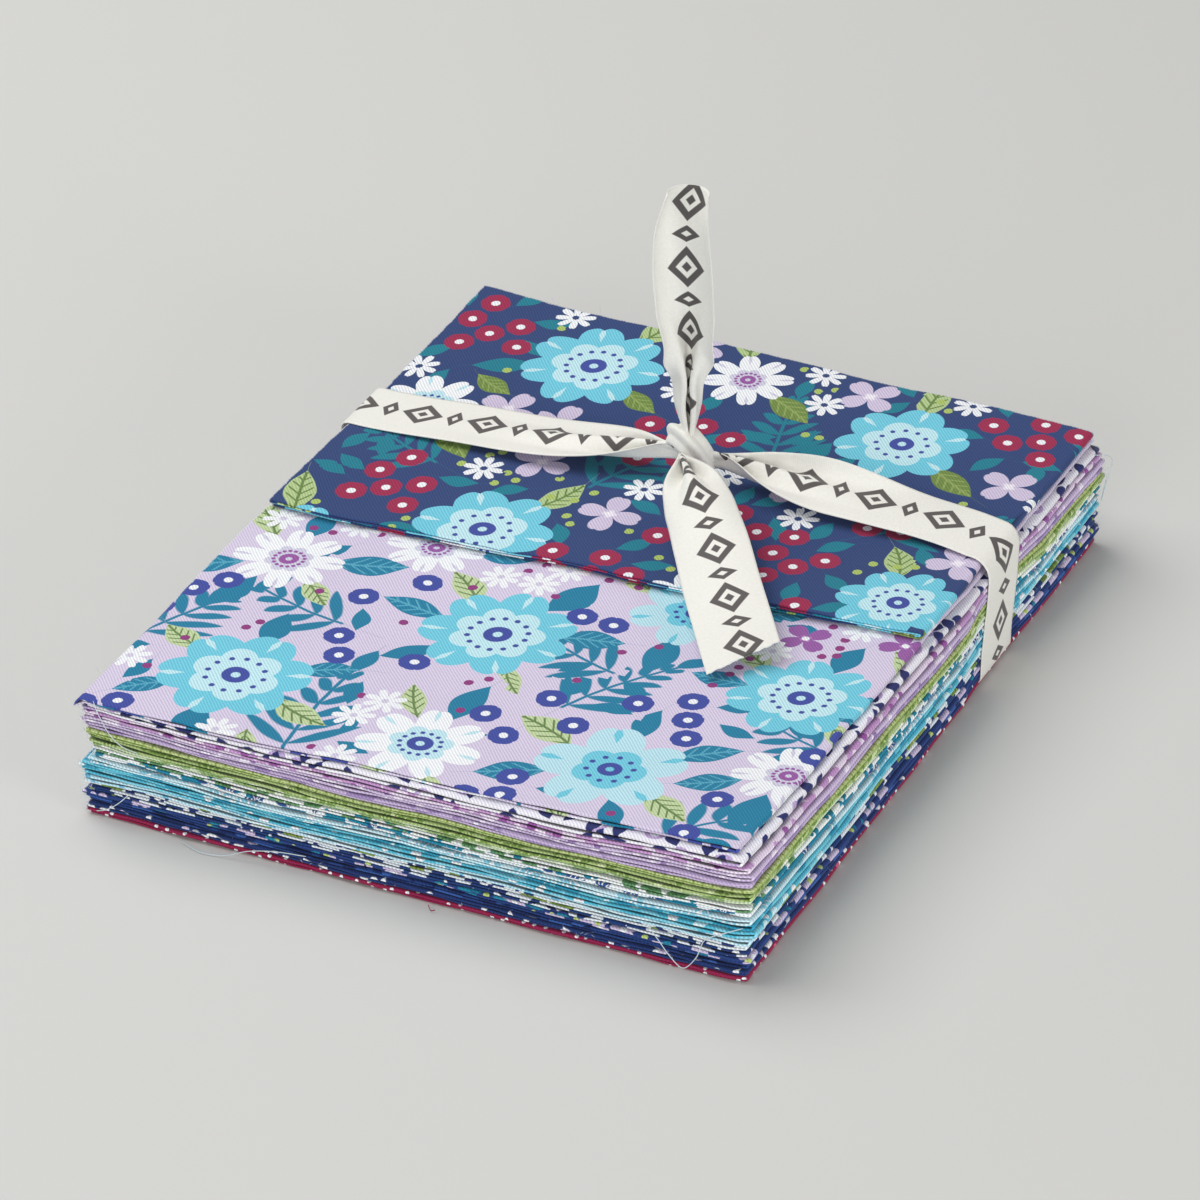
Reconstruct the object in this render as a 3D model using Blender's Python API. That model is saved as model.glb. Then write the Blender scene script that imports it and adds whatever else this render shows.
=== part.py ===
# A fat quarter bundle: twenty-one folded quarters of printed cotton in a pile, tied once round with a ribbon.
# Every quarter is one sheet folded in half twice. Its front fold shows two ridges, its side fold wraps them,
# and its raw edges are at the left and at the back.

import math
from collections import namedtuple

import bmesh
import bpy
import numpy as np
from mathutils import Vector

MM = 0.001

# Folded quarters, in millimetres
HALF_WIDTH = 114.3  # half of the folded width, 9 inches
HALF_DEPTH = 143.0  # half of the folded depth, 11.25 inches
CLOTH = 0.30  # thickness of the cotton
PIECE_GAP = 0.30  # room between one folded quarter and the next
FRONT_STEPS = 3  # facets round a front or back fold
SIDE_STEPS = 4  # facets round the side fold

# Ribbon, in millimetres
RIBBON_WIDTH = 25.4
RIBBON_THICK = 1.0
BAND_Y = 53.0  # middle of the band
BAND_LEFT = -117.1
BAND_RIGHT = 117.1
TOP_CORNER_LEFT = 2.5  # radius where the band turns down on the left
TOP_CORNER_RIGHT = 7.0  # radius where the band turns down on the right
LOW_CORNER = 3.5  # radius where the band turns under
CORNER_STEPS = 3
TOUCH = 0.3  # room between the ribbon and the cloth, and between the ribbon's own parts

# The pile is flat under the band, and its lowest quarters ride over it
BAND_NEAR = 38.0
BAND_FAR = 68.0
RAMP = 10.0  # length of the slope on either side of the band
CHANNEL = RIBBON_THICK + TOUCH
CHANNEL_QUARTERS = 4  # quarters over which the rise is taken up

# Height of the twenty full-size quarters in millimetres: a row for each distance from the front
PileRow = namedtuple("PileRow", "y left middle right")
PILE_ROWS = (
    PileRow(-HALF_DEPTH, 43.2, 43.4, 47.0),
    PileRow(-50.0, 42.0, 42.0, 43.4),
    PileRow(BAND_NEAR, 40.6, 40.8, 41.0),
    PileRow(BAND_FAR, 40.4, 40.6, 40.8),
    PileRow(HALF_DEPTH, 41.2, 40.6, 40.2),
)
PILE_X = (-HALF_WIDTH, 0.0, HALF_WIDTH)

# One row for each full-size quarter, from the bottom up, in millimetres. thick is its share of the pile. The
# others are how far its edges stand out from the nominal size: the side fold near the front and far at the back,
# the left raw edge near, far and on the under leaves, the front fold at its left, its right and its middle, and
# the back raw edge of the outer and the inner leaves.
Quarter = namedtuple(
    "Quarter",
    "name thick side_near side_far left_near left_far left_under "
    "front_left front_right front_bow back_outer back_inner colour",
)
QUARTERS = (
    Quarter("crimson_dots", 2.3, 0.0, 0.0, -1.9, -0.6, -0.9, 2.0, -1.6, 0.4, 0.6, -0.5, (0.45, 0.02, 0.07)),
    Quarter("navy_sprinkle", 2.1, 0.3, 0.6, -2.4, 0.4, 0.8, 1.7, -1.4, 0.2, -0.8, 0.3, (0.03, 0.05, 0.22)),
    Quarter("navy_check", 2.0, -0.2, 1.3, -1.0, 1.1, -1.1, 1.2, -2.0, 0.6, 1.2, 0.2, (0.04, 0.07, 0.27)),
    Quarter("navy_lilac_flowers", 2.2, 0.5, 1.2, -0.6, -0.3, 0.9, 1.6, -1.0, -0.3, 0.1, 1.0, (0.05, 0.09, 0.33)),
    Quarter("white_navy_motif", 2.0, -0.4, 0.2, -3.0, 0.8, -0.8, 0.9, -2.2, 0.4, -1.0, -0.2, (0.80, 0.84, 0.90)),
    Quarter("white_olive", 2.1, -0.6, 0.6, -2.2, -1.0, 1.0, 1.4, -1.7, 0.5, 1.3, 0.4, (0.80, 0.84, 0.80)),
    Quarter("light_blue", 2.0, 0.6, -0.3, -1.2, 0.2, -0.6, 2.0, -1.2, 0.0, -0.3, -1.1, (0.48, 0.76, 0.84)),
    Quarter("aqua_mottle", 2.2, 1.9, 0.8, 0.1, 1.2, -1.0, 1.8, -0.8, 0.3, 0.9, 2.2, (0.20, 0.64, 0.77)),
    Quarter("aqua_deep", 2.1, 1.4, 0.5, -0.3, -0.5, 0.7, 2.2, -1.4, -0.2, 0.2, -0.5, (0.08, 0.52, 0.68)),
    Quarter("pale_aqua", 2.0, 1.2, 1.2, -3.1, 0.6, -1.0, 1.3, -1.1, 0.4, -0.7, 0.6, (0.54, 0.82, 0.87)),
    Quarter("white_teal_leaves", 2.2, 0.5, 0.7, -5.2, -1.2, 0.8, 0.8, -1.9, 0.6, 1.1, 0.1, (0.78, 0.87, 0.90)),
    Quarter("white_sprigs", 2.0, 0.7, 1.5, -4.8, -0.2, -0.9, 1.0, -1.4, 0.1, -0.4, -1.2, (0.82, 0.86, 0.86)),
    Quarter("green_pale", 2.1, 0.0, 1.9, -5.4, 0.7, 1.0, 1.7, -2.1, 0.5, 0.6, 1.2, (0.47, 0.66, 0.42)),
    Quarter("green_leaves", 2.2, 0.9, 2.3, -3.4, -0.8, -0.6, 1.9, -1.0, 0.2, 1.4, 0.7, (0.24, 0.42, 0.12)),
    Quarter("lime_grid", 2.0, 1.4, 1.9, -2.6, 0.3, 0.5, 2.1, -1.4, -0.3, -0.2, 0.5, (0.50, 0.62, 0.20)),
    Quarter("lilac_plain", 2.1, 0.6, 2.1, -2.3, 1.0, -0.8, 1.5, -0.9, 0.4, -0.9, -0.1, (0.48, 0.33, 0.60)),
    Quarter("lilac_dashes", 2.2, 1.0, 2.3, -1.8, -0.4, 0.9, 1.9, -1.6, 0.3, 0.8, -0.7, (0.53, 0.40, 0.66)),
    Quarter("pink_bloom", 2.3, 0.1, 1.4, -1.6, 0.5, -0.7, 1.6, -2.0, 0.6, 0.3, 1.0, (0.72, 0.56, 0.76)),
    Quarter("white_rings", 2.4, -1.9, 0.8, -1.7, -0.1, 0.6, 1.3, -2.4, 0.4, -0.5, 0.4, (0.82, 0.78, 0.88)),
    Quarter("lilac_floral", 2.3, -4.8, -1.8, 1.4, 0.6, -0.8, 2.2, -5.6, -1.0, 0.2, -0.6, (0.69, 0.61, 0.78)),
)
FULL_LEAVES = 2  # leaves from the front fold, which the side fold doubles to four

# The top quarter is folded narrower, with its front fold on the back half of the pile
TOP_QUARTER = Quarter(
    "navy_floral", 3.5, -4.0, -1.7, 0.6, -0.3, -0.7, 6.2, -6.6, 0.6, 0.4, -1.2, (0.04, 0.07, 0.28)
)
TOP_FRONT = -13.0  # its front fold's middle
TOP_BACK = 142.0
TOP_LEAVES = 4
TOP_CLOTH = 0.28

# Knot
KNOT = (6.5, 57.0, 54.6)
KNOT_RADII = (6.4, 7.4, 9.4)
KNOT_RINGS = 10
KNOT_SEGMENTS = 14

# One row for each cross-section of a ribbon part. x, y and z are its middle. heading and roll turn the line across
# it: 0 and 0 lie along +X. pleat gathers its four equal strips into a zigzag, cup curls them into a trough, both
# in degrees.
Section = namedtuple("Section", "x y z heading roll pleat cup")
TAIL_UP = (
    Section(5.6, 57.6, 64.8, 25.0, 0.0, 66.0, 0.0),
    Section(3.8, 59.0, 72.0, 25.0, 0.0, 56.0, 12.0),
    Section(4.0, 59.0, 80.0, 25.0, 0.0, 34.0, 32.0),
    Section(4.2, 58.8, 92.0, 25.0, 0.0, 14.0, 46.0),
    Section(2.6, 58.2, 108.0, 24.0, 0.0, 6.0, 52.0),
    Section(0.8, 57.8, 124.0, 22.0, 0.0, 0.0, 54.0),
    Section(0.8, 58.4, 138.0, 20.0, 0.0, 0.0, 60.0),
    Section(1.8, 59.6, 150.0, 18.0, 0.0, 0.0, 66.0),
)
TAIL_FRONT = (
    Section(5.8, 47.4, 55.0, 31.0, 6.0, 60.0, 0.0),
    Section(9.4, 40.6, 58.4, 32.0, 9.0, 42.0, 20.0),
    Section(14.2, 32.6, 59.6, 33.0, 13.0, 18.0, 24.0),
    Section(22.4, 21.6, 58.0, 34.0, 15.0, 4.0, 14.0),
    Section(32.0, 8.6, 54.2, 34.0, 14.0, 0.0, 6.0),
    Section(43.0, -7.4, 51.2, 34.0, 12.0, 0.0, 3.0),
    Section(54.0, -23.4, 49.0, 34.0, 9.0, 0.0, 2.0),
    Section(65.0, -39.4, 47.3, 34.0, 6.0, 0.0, 0.0),
)
STRIPS = 4

# Height of the band's two ends above the cloth's top, and how they are gathered, by distance from the knot
Lead = namedtuple("Lead", "reach rise pleat cup")
BAND_LEADS = (
    Lead(0.0, 6.4, 60.0, 0.0),
    Lead(9.0, 5.2, 50.0, 8.0),
    Lead(24.0, 3.6, 34.0, 14.0),
    Lead(46.0, 1.8, 16.0, 8.0),
    Lead(72.0, 0.5, 4.0, 2.0),
    Lead(92.0, 0.0, 0.0, 0.0),
)
BAND_STRIP_Y = 90.0  # heading of the line across the band
RIBBON_COLOUR = (0.84, 0.81, 0.72)
CLOTH_ROUGHNESS = 0.85
RIBBON_ROUGHNESS = 0.6

LEVELS = tuple(np.cumsum([0.0] + [quarter.thick for quarter in QUARTERS]))
PILE_LEVEL = LEVELS[-1]


def clear_scene():
    for thing in list(bpy.data.objects):
        bpy.data.objects.remove(thing, do_unlink=True)


def cloth_material(name, colour, roughness):
    material = bpy.data.materials.new(name)
    material.use_nodes = True
    shader = material.node_tree.nodes["Principled BSDF"]
    shader.inputs["Base Color"].default_value = (*colour, 1.0)
    shader.inputs["Roughness"].default_value = roughness
    shader.inputs["Metallic"].default_value = 0.0
    return material


def add_object(name, points, faces, material):
    # Points are in millimetres; faces are triangles of one closed body.
    mesh = bpy.data.meshes.new(name)
    mesh.from_pydata([tuple(value * MM for value in point) for point in points], [], faces)
    body = bmesh.new()
    body.from_mesh(mesh)
    bmesh.ops.recalc_face_normals(body, faces=body.faces)
    body.to_mesh(mesh)
    body.free()
    mesh.materials.append(material)
    thing = bpy.data.objects.new(name, mesh)
    bpy.context.collection.objects.link(thing)
    return thing


def triangles(points, corners):
    # Splits a four-sided cell along the diagonal that runs from its near left corner to its far right one, so
    # that leaves above each other are creased along the same lines.
    reach = [points[corner][0] + points[corner][1] for corner in corners]
    low = int(np.argmin(reach))
    a, b, c, d = (corners[(low + step) % 4] for step in range(4))
    return [(a, b, c), (a, c, d)]


def pile_height(x, y):
    # The pile's height between the table's rows, in flat triangles split like the cells of the cloth.
    row = min(max(sum(y > entry.y for entry in PILE_ROWS) - 1, 0), len(PILE_ROWS) - 2)
    column = 0 if x < PILE_X[1] else 1
    near, far = PILE_ROWS[row], PILE_ROWS[row + 1]
    across = (x - PILE_X[column]) / (PILE_X[column + 1] - PILE_X[column])
    along = (y - near.y) / (far.y - near.y)
    near_left, near_right = near[1 + column], near[2 + column]
    far_left, far_right = far[1 + column], far[2 + column]
    if across > along:
        return near_left + across * (near_right - near_left) + along * (far_right - near_right)
    return near_left + along * (far_left - near_left) + across * (far_right - far_left)


def lift(x, y, level):
    # World height of a point at a level of the pile. The lowest quarters are raised over the band.
    rise = min(max((y - BAND_NEAR + RAMP) / RAMP, 0.0), max((BAND_FAR + RAMP - y) / RAMP, 0.0), 1.0)
    fade = max(0.0, 1.0 - level / LEVELS[CHANNEL_QUARTERS])
    return level * pile_height(x, y) / PILE_LEVEL + CHANNEL * rise * fade


def fold_outline(leaves, pitch, cloth, breaks):
    # The section of the folded leaves, seen from the side fold, as a closed outline of stations. A station is
    # (line, shift, level): shift is measured from the named line along Y, level from the side fold's own middle.
    centre = []
    for leaf in range(leaves):
        level = (leaves - leaf - 0.5) * pitch
        forward = leaf % 2 == 0
        up = 1.0 if forward else -1.0
        lines = ["back"] + list(reversed(breaks)) if forward else list(breaks) + ["back"]
        if leaf > 0 and forward:
            lines = lines[1:]
        if leaf < leaves - 1 and not forward:
            lines = lines[:-1]
        centre += [(line, 0.0, level, 0.0, up) for line in lines]
        if leaf == leaves - 1:
            break
        middle = level - pitch / 2
        for step in range(FRONT_STEPS + 1):
            turn = math.pi * step / FRONT_STEPS
            outward = -math.sin(turn) if forward else math.sin(turn)
            side = "front" if forward else "turn"
            bend = outward if forward else -outward
            tilt = math.cos(turn) if forward else -math.cos(turn)
            centre.append((side, pitch / 2 * outward, middle + pitch / 2 * math.cos(turn), bend, tilt))
    half = cloth / 2
    upper = [(line, shift + half * bend, level + half * tilt) for line, shift, level, bend, tilt in centre]
    under = [(line, shift - half * bend, level - half * tilt) for line, shift, level, bend, tilt in centre]
    return upper, under


def fold_quarter(name, quarter, middle_level, leaves, pitch, cloth, breaks, front_y, back_y):
    # One quarter: the fold outline is carried in from the left raw edge, round the side fold and back again.
    upper, under = fold_outline(leaves, pitch, cloth, breaks)
    outline = upper + under[::-1]
    side_radius = (leaves - 0.5) * pitch + cloth / 2
    front_radius = (pitch + cloth) / 2
    back_inner_levels = (leaves - 1.0) * pitch

    path = [("left_top", 0.0), ("middle", 0.0)]
    path += [("side", math.pi * step / SIDE_STEPS) for step in range(SIDE_STEPS + 1)]
    path += [("middle", math.pi), ("left_under", math.pi)]

    def place(station, line, shift, level):
        kind, turn = station
        along = (front_y + shift, back_y)[line in ("back", "turn")] if isinstance(line, str) else line
        near = 0.5 - along / (2 * HALF_DEPTH)
        side_x = HALF_WIDTH + quarter.side_near * near + quarter.side_far * (1 - near)
        left_x = -HALF_WIDTH - quarter.left_near * near - quarter.left_far * (1 - near)
        if kind == "side":
            x = side_x - side_radius + level * math.sin(turn)
        elif kind == "middle":
            x = 0.0
        else:
            x = left_x - (quarter.left_under if kind == "left_under" else 0.0)
        right = 0.5 + x / (2 * HALF_WIDTH)
        if line == "front":
            bow = quarter.front_bow * (1 - (x / HALF_WIDTH) ** 2)
            y = front_y - quarter.front_left * (1 - right) - quarter.front_right * right - bow
            y += front_radius + shift
        elif line in ("back", "turn"):
            outer = abs(level) > back_inner_levels
            y = back_y + (quarter.back_outer if outer else quarter.back_inner)
            y += shift - (front_radius if line == "turn" else 0.0)
        else:
            y = line
        return x, y, lift(x, y, middle_level + level * math.cos(turn))

    points = [place(station, *spot) for station in path for spot in outline]
    around = len(outline)
    faces = []
    for row in range(len(path) - 1):
        for spot in range(around):
            after = (spot + 1) % around
            a, b = row * around, (row + 1) * around
            faces += triangles(points, (a + spot, a + after, b + after, b + spot))
    for row in (0, len(path) - 1):
        start = row * around
        for spot in range(len(upper) - 1):
            far = around - 1 - spot
            faces += triangles(points, (start + spot, start + spot + 1, start + far - 1, start + far))
    material = cloth_material(name, quarter.colour, CLOTH_ROUGHNESS)
    return add_object(name, points, faces, material)


def ribbon_section(section):
    # Five points across the ribbon, four equal strips apart, and the direction in which each one faces.
    heading, roll = math.radians(section.heading), math.radians(section.roll)
    across = Vector((math.cos(heading) * math.cos(roll), math.sin(heading) * math.cos(roll), math.sin(roll)))
    zigzag = (1.0, -1.0, 1.0, -1.0)
    trough = (-1.0, -1.0 / 3.0, 1.0 / 3.0, 1.0)
    tilts = [math.radians(section.pleat * z + section.cup * t) for z, t in zip(zigzag, trough)]
    strip = RIBBON_WIDTH / STRIPS
    sideways = np.concatenate([[0.0], np.cumsum([strip * math.cos(tilt) for tilt in tilts])])
    upward = np.concatenate([[0.0], np.cumsum([strip * math.sin(tilt) for tilt in tilts])])
    sideways -= sideways.mean()
    upward -= upward.mean()
    faced = []
    for spot in range(STRIPS + 1):
        before = tilts[max(spot - 1, 0)]
        after = tilts[min(spot, STRIPS - 1)]
        mitre = min(1.0 / max(math.cos((after - before) / 2), 0.1), 2.0)
        middle = (before + after) / 2
        faced.append((-math.sin(middle) * mitre, math.cos(middle) * mitre))
    return across, sideways, upward, faced


def ribbon_part(name, sections):
    # Carries the cross-sections along their middles and gives the ribbon its thickness.
    centres = [Vector((section.x, section.y, section.z)) for section in sections]
    points = []
    for index, section in enumerate(sections):
        across, sideways, upward, faced = ribbon_section(section)
        ahead = centres[min(index + 1, len(centres) - 1)] - centres[max(index - 1, 0)]
        ahead = (ahead - across * ahead.dot(across)).normalized()
        out = across.cross(ahead)
        for side in (0.5, -0.5):
            for spot in range(STRIPS + 1):
                lean, rise = faced[spot]
                shift = side * RIBBON_THICK
                offset = across * (sideways[spot] + lean * shift) + out * (upward[spot] + rise * shift)
                points.append(centres[index] + offset)
    around = 2 * (STRIPS + 1)
    ring = list(range(STRIPS + 1)) + list(range(around - 1, STRIPS, -1))
    faces = []
    for row in range(len(sections) - 1):
        a, b = row * around, (row + 1) * around
        for spot in range(around):
            here, after = ring[spot], ring[(spot + 1) % around]
            faces += [(a + here, a + after, b + after), (a + here, b + after, b + here)]
    for row in (0, len(sections) - 1):
        start = row * around
        for spot in range(STRIPS):
            a, b = start + spot, start + spot + 1
            c, d = b + STRIPS + 1, a + STRIPS + 1
            faces += [(a, b, c), (a, c, d)]
    material = cloth_material(name, RIBBON_COLOUR, RIBBON_ROUGHNESS)
    return add_object(name, [tuple(point) for point in points], faces, material)


def corner(centre_x, centre_z, radius, start, end):
    # Points round a corner of the band, as (x, z), with angles in degrees from +X towards +Z.
    turns = [math.radians(start + (end - start) * step / CORNER_STEPS) for step in range(CORNER_STEPS + 1)]
    return [(centre_x + radius * math.cos(turn), centre_z + radius * math.sin(turn)) for turn in turns]


def band_sections():
    # From the knot's right side over the top, down the right, under the pile, up the left and back to the knot.
    top = lift(HALF_WIDTH, BAND_Y, PILE_LEVEL + TOP_QUARTER.thick) + RIBBON_THICK / 2
    top_left = lift(-HALF_WIDTH, BAND_Y, PILE_LEVEL + TOP_QUARTER.thick) + RIBBON_THICK / 2
    low = RIBBON_THICK / 2
    ends = (KNOT[0] + KNOT_RADII[0] + TOUCH, KNOT[0] - KNOT_RADII[0] - TOUCH)
    lead_right = [
        Section(ends[0] + lead.reach, BAND_Y, top + lead.rise, BAND_STRIP_Y, 0.0, lead.pleat, lead.cup)
        for lead in BAND_LEADS
    ]
    lead_left = [
        Section(ends[1] - lead.reach, BAND_Y, top_left + lead.rise, BAND_STRIP_Y, 0.0, lead.pleat, lead.cup)
        for lead in reversed(BAND_LEADS)
    ]
    round_the_pile = corner(BAND_RIGHT - TOP_CORNER_RIGHT, top - TOP_CORNER_RIGHT, TOP_CORNER_RIGHT, 90, 0)
    round_the_pile += corner(BAND_RIGHT - LOW_CORNER, low + LOW_CORNER, LOW_CORNER, 0, -90)
    round_the_pile += [(0.0, low)]
    round_the_pile += corner(BAND_LEFT + LOW_CORNER, low + LOW_CORNER, LOW_CORNER, 270, 180)
    round_the_pile += corner(BAND_LEFT + TOP_CORNER_LEFT, top_left - TOP_CORNER_LEFT, TOP_CORNER_LEFT, 180, 90)
    around = [Section(x, BAND_Y, z, BAND_STRIP_Y, 0.0, 0.0, 0.0) for x, z in round_the_pile]
    return lead_right + around + lead_left


def build_knot():
    # A rounded lump with the raised wrap of the ribbon running over it from its back left to its front right.
    points = [(KNOT[0], KNOT[1], KNOT[2] - KNOT_RADII[2])]
    for ring in range(1, KNOT_RINGS):
        fall = math.pi * ring / KNOT_RINGS - math.pi / 2
        for segment in range(KNOT_SEGMENTS):
            turn = 2 * math.pi * segment / KNOT_SEGMENTS
            x, y, z = math.cos(fall) * math.cos(turn), math.cos(fall) * math.sin(turn), math.sin(fall)
            off_wrap = 0.8 * x + 0.6 * y
            swell = 0.90 + 0.10 * math.exp(-((off_wrap / 0.38) ** 2)) * (1 + z) / 2
            points.append(tuple(KNOT[i] + KNOT_RADII[i] * value * swell for i, value in enumerate((x, y, z))))
    points.append((KNOT[0], KNOT[1], KNOT[2] + KNOT_RADII[2]))
    last = len(points) - 1
    faces = []
    for segment in range(KNOT_SEGMENTS):
        after = (segment + 1) % KNOT_SEGMENTS
        faces.append((0, 1 + after, 1 + segment))
        top = 1 + (KNOT_RINGS - 2) * KNOT_SEGMENTS
        faces.append((last, top + segment, top + after))
        for ring in range(KNOT_RINGS - 2):
            a, b = 1 + ring * KNOT_SEGMENTS, 1 + (ring + 1) * KNOT_SEGMENTS
            faces += [(a + segment, a + after, b + after), (a + segment, b + after, b + segment)]
    material = cloth_material("ribbon_knot", RIBBON_COLOUR, RIBBON_ROUGHNESS)
    add_object("ribbon_knot", points, faces, material)


def build_pile():
    for number, quarter in enumerate(QUARTERS, start=1):
        name = f"quarter_{number:02d}_{quarter.name}"
        leaf_pitch = (quarter.thick - PIECE_GAP - CLOTH) / (2 * FULL_LEAVES - 1)
        middle = LEVELS[number - 1] + (quarter.thick - PIECE_GAP) / 2
        breaks = [-50.0, BAND_NEAR, BAND_FAR]
        if number <= CHANNEL_QUARTERS:
            breaks = [-50.0, BAND_NEAR - RAMP, BAND_NEAR, BAND_FAR, BAND_FAR + RAMP]
        fold_quarter(
            name, quarter, middle, FULL_LEAVES, leaf_pitch, CLOTH, breaks, -HALF_DEPTH, HALF_DEPTH
        )
    leaf_pitch = (TOP_QUARTER.thick - PIECE_GAP - TOP_CLOTH) / (2 * TOP_LEAVES - 1)
    middle = PILE_LEVEL + (TOP_QUARTER.thick - PIECE_GAP) / 2
    fold_quarter(
        f"quarter_{len(QUARTERS) + 1}_{TOP_QUARTER.name}",
        TOP_QUARTER,
        middle,
        TOP_LEAVES,
        leaf_pitch,
        TOP_CLOTH,
        [BAND_NEAR, BAND_FAR],
        TOP_FRONT,
        TOP_BACK,
    )


def build_ribbon():
    ribbon_part("ribbon_band", band_sections())
    build_knot()
    ribbon_part("ribbon_tail_up", TAIL_UP)
    ribbon_part("ribbon_tail_front", TAIL_FRONT)


clear_scene()
build_pile()
build_ribbon()
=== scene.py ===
import bpy
import numpy as np
from mathutils import Matrix


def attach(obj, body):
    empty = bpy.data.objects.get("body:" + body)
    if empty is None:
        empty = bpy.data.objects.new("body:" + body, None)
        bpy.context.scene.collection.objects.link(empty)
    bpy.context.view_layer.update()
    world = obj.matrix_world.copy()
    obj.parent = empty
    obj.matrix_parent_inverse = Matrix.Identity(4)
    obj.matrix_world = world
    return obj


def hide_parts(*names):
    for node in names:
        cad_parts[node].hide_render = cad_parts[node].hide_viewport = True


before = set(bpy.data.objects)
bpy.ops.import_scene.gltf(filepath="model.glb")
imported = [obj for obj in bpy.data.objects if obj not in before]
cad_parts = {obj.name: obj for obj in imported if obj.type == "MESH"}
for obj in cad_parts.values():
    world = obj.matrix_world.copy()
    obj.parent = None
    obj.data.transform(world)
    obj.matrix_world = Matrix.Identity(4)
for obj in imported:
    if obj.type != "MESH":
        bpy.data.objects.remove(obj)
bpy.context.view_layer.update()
print("solids loaded")

mm = 0.001

# Camera, by its own angles and its distance from the middle of the base
view = dict(azimuth=25.421, elevation=32.047, away=2122.8, right=-1.876, up=23.141, lens=195.0)


def viewAxes():
    # Right, up and back of a camera that looks at the origin from the azimuth and elevation of the table
    turn, rise = np.radians(view["azimuth"]), np.radians(view["elevation"])
    back = np.array([np.sin(turn) * np.cos(rise), -np.cos(turn) * np.cos(rise), np.sin(rise)])
    right = np.array([np.cos(turn), np.sin(turn), 0.0])
    return right, np.cross(back, right), back


def placeCamera():
    # The camera looks along one straight line; right and up shift it sideways without turning it.
    right, up, back = viewAxes()
    spot = (back * view["away"] + right * view["right"] + up * view["up"]) * mm
    data = bpy.data.cameras.new("camera")
    data.lens = view["lens"]
    data.sensor_width = 36.0
    data.clip_end = 50.0
    camera = bpy.data.objects.new("camera", data)
    bpy.context.scene.collection.objects.link(camera)
    rows = [[right[i], up[i], back[i], spot[i]] for i in range(3)]
    camera.matrix_world = Matrix(rows + [[0.0, 0.0, 0.0, 1.0]])
    bpy.context.scene.camera = camera


# Shader formulas are written as sums and products of sockets
class Value:
    def __init__(self, tree, socket):
        self.tree, self.socket = tree, socket

    def maths(self, operation, *others):
        node = self.tree.nodes.new("ShaderNodeMath")
        node.operation = operation
        for slot, value in zip(node.inputs, (self, *others)):
            plug(self.tree, slot, value)
        return Value(self.tree, node.outputs[0])

    def __add__(self, other):
        return self.maths("ADD", other)

    def __sub__(self, other):
        return self.maths("SUBTRACT", other)

    def __mul__(self, other):
        return self.maths("MULTIPLY", other)

    def __truediv__(self, other):
        return self.maths("DIVIDE", other)

    def __pow__(self, other):
        return self.maths("POWER", other)

    def __abs__(self):
        return self.maths("ABSOLUTE")

    def less(self, start):
        return Value(self.tree, constant(self.tree, start)).maths("SUBTRACT", self)

    def wave(self, pitch):
        return (self * (2 * np.pi / pitch)).maths("SINE")


def plug(tree, slot, value):
    if isinstance(value, Value):
        tree.links.new(value.socket, slot)
    else:
        slot.default_value = value


def constant(tree, number):
    node = tree.nodes.new("ShaderNodeValue")
    node.outputs[0].default_value = number
    return node.outputs[0]


def within(distance, limit, soft):
    # 1 where distance is under limit, 0 where it is over, with an edge of the width soft.
    node = distance.tree.nodes.new("ShaderNodeMapRange")
    plug(distance.tree, node.inputs["Value"], distance - limit)
    node.inputs["From Min"].default_value = -soft / 2
    node.inputs["From Max"].default_value = soft / 2
    node.inputs["To Min"].default_value = 1.0
    node.inputs["To Max"].default_value = 0.0
    return Value(distance.tree, node.outputs["Result"])


def blend(tree, share, first, second, way="MIX"):
    # first where share is 0, second where it is 1
    node = tree.nodes.new("ShaderNodeMix")
    node.data_type = "RGBA"
    node.blend_type = way
    plug(tree, node.inputs["Factor"], share)
    for slot, colour in ((node.inputs[6], first), (node.inputs[7], second)):
        if isinstance(colour, Value):
            tree.links.new(colour.socket, slot)
        else:
            slot.default_value = (*linear(colour), 1.0)
    return Value(tree, node.outputs[2])


def linear(colour):
    # 8-bit screen colour to linear light
    share = np.array(colour) / 255.0
    return tuple(np.where(share < 0.04045, share / 12.92, ((share + 0.055) / 1.055) ** 2.4))


def attribute(tree, name, output="Vector"):
    node = tree.nodes.new("ShaderNodeAttribute")
    node.attribute_name = name
    return Value(tree, node.outputs[output])


def parts(vector):
    node = vector.tree.nodes.new("ShaderNodeSeparateXYZ")
    vector.tree.links.new(vector.socket, node.inputs[0])
    return [Value(vector.tree, output) for output in node.outputs]


def joined(tree, *values):
    node = tree.nodes.new("ShaderNodeCombineXYZ")
    for slot, value in zip(node.inputs, values):
        plug(tree, slot, value)
    return Value(tree, node.outputs[0])


def noise(tree, where, scale, detail=2.0):
    node = tree.nodes.new("ShaderNodeTexNoise")
    tree.links.new(where.socket, node.inputs["Vector"])
    node.inputs["Scale"].default_value = scale
    node.inputs["Detail"].default_value = detail
    return Value(tree, node.outputs["Fac"])


def sheetUv(tree):
    # Place on the flat cut, in millimetres
    node = tree.nodes.new("ShaderNodeUVMap")
    node.uv_map = "cut"
    x, y, _ = parts(Value(tree, node.outputs[0]))
    return x * 1000.0, y * 1000.0


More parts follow.
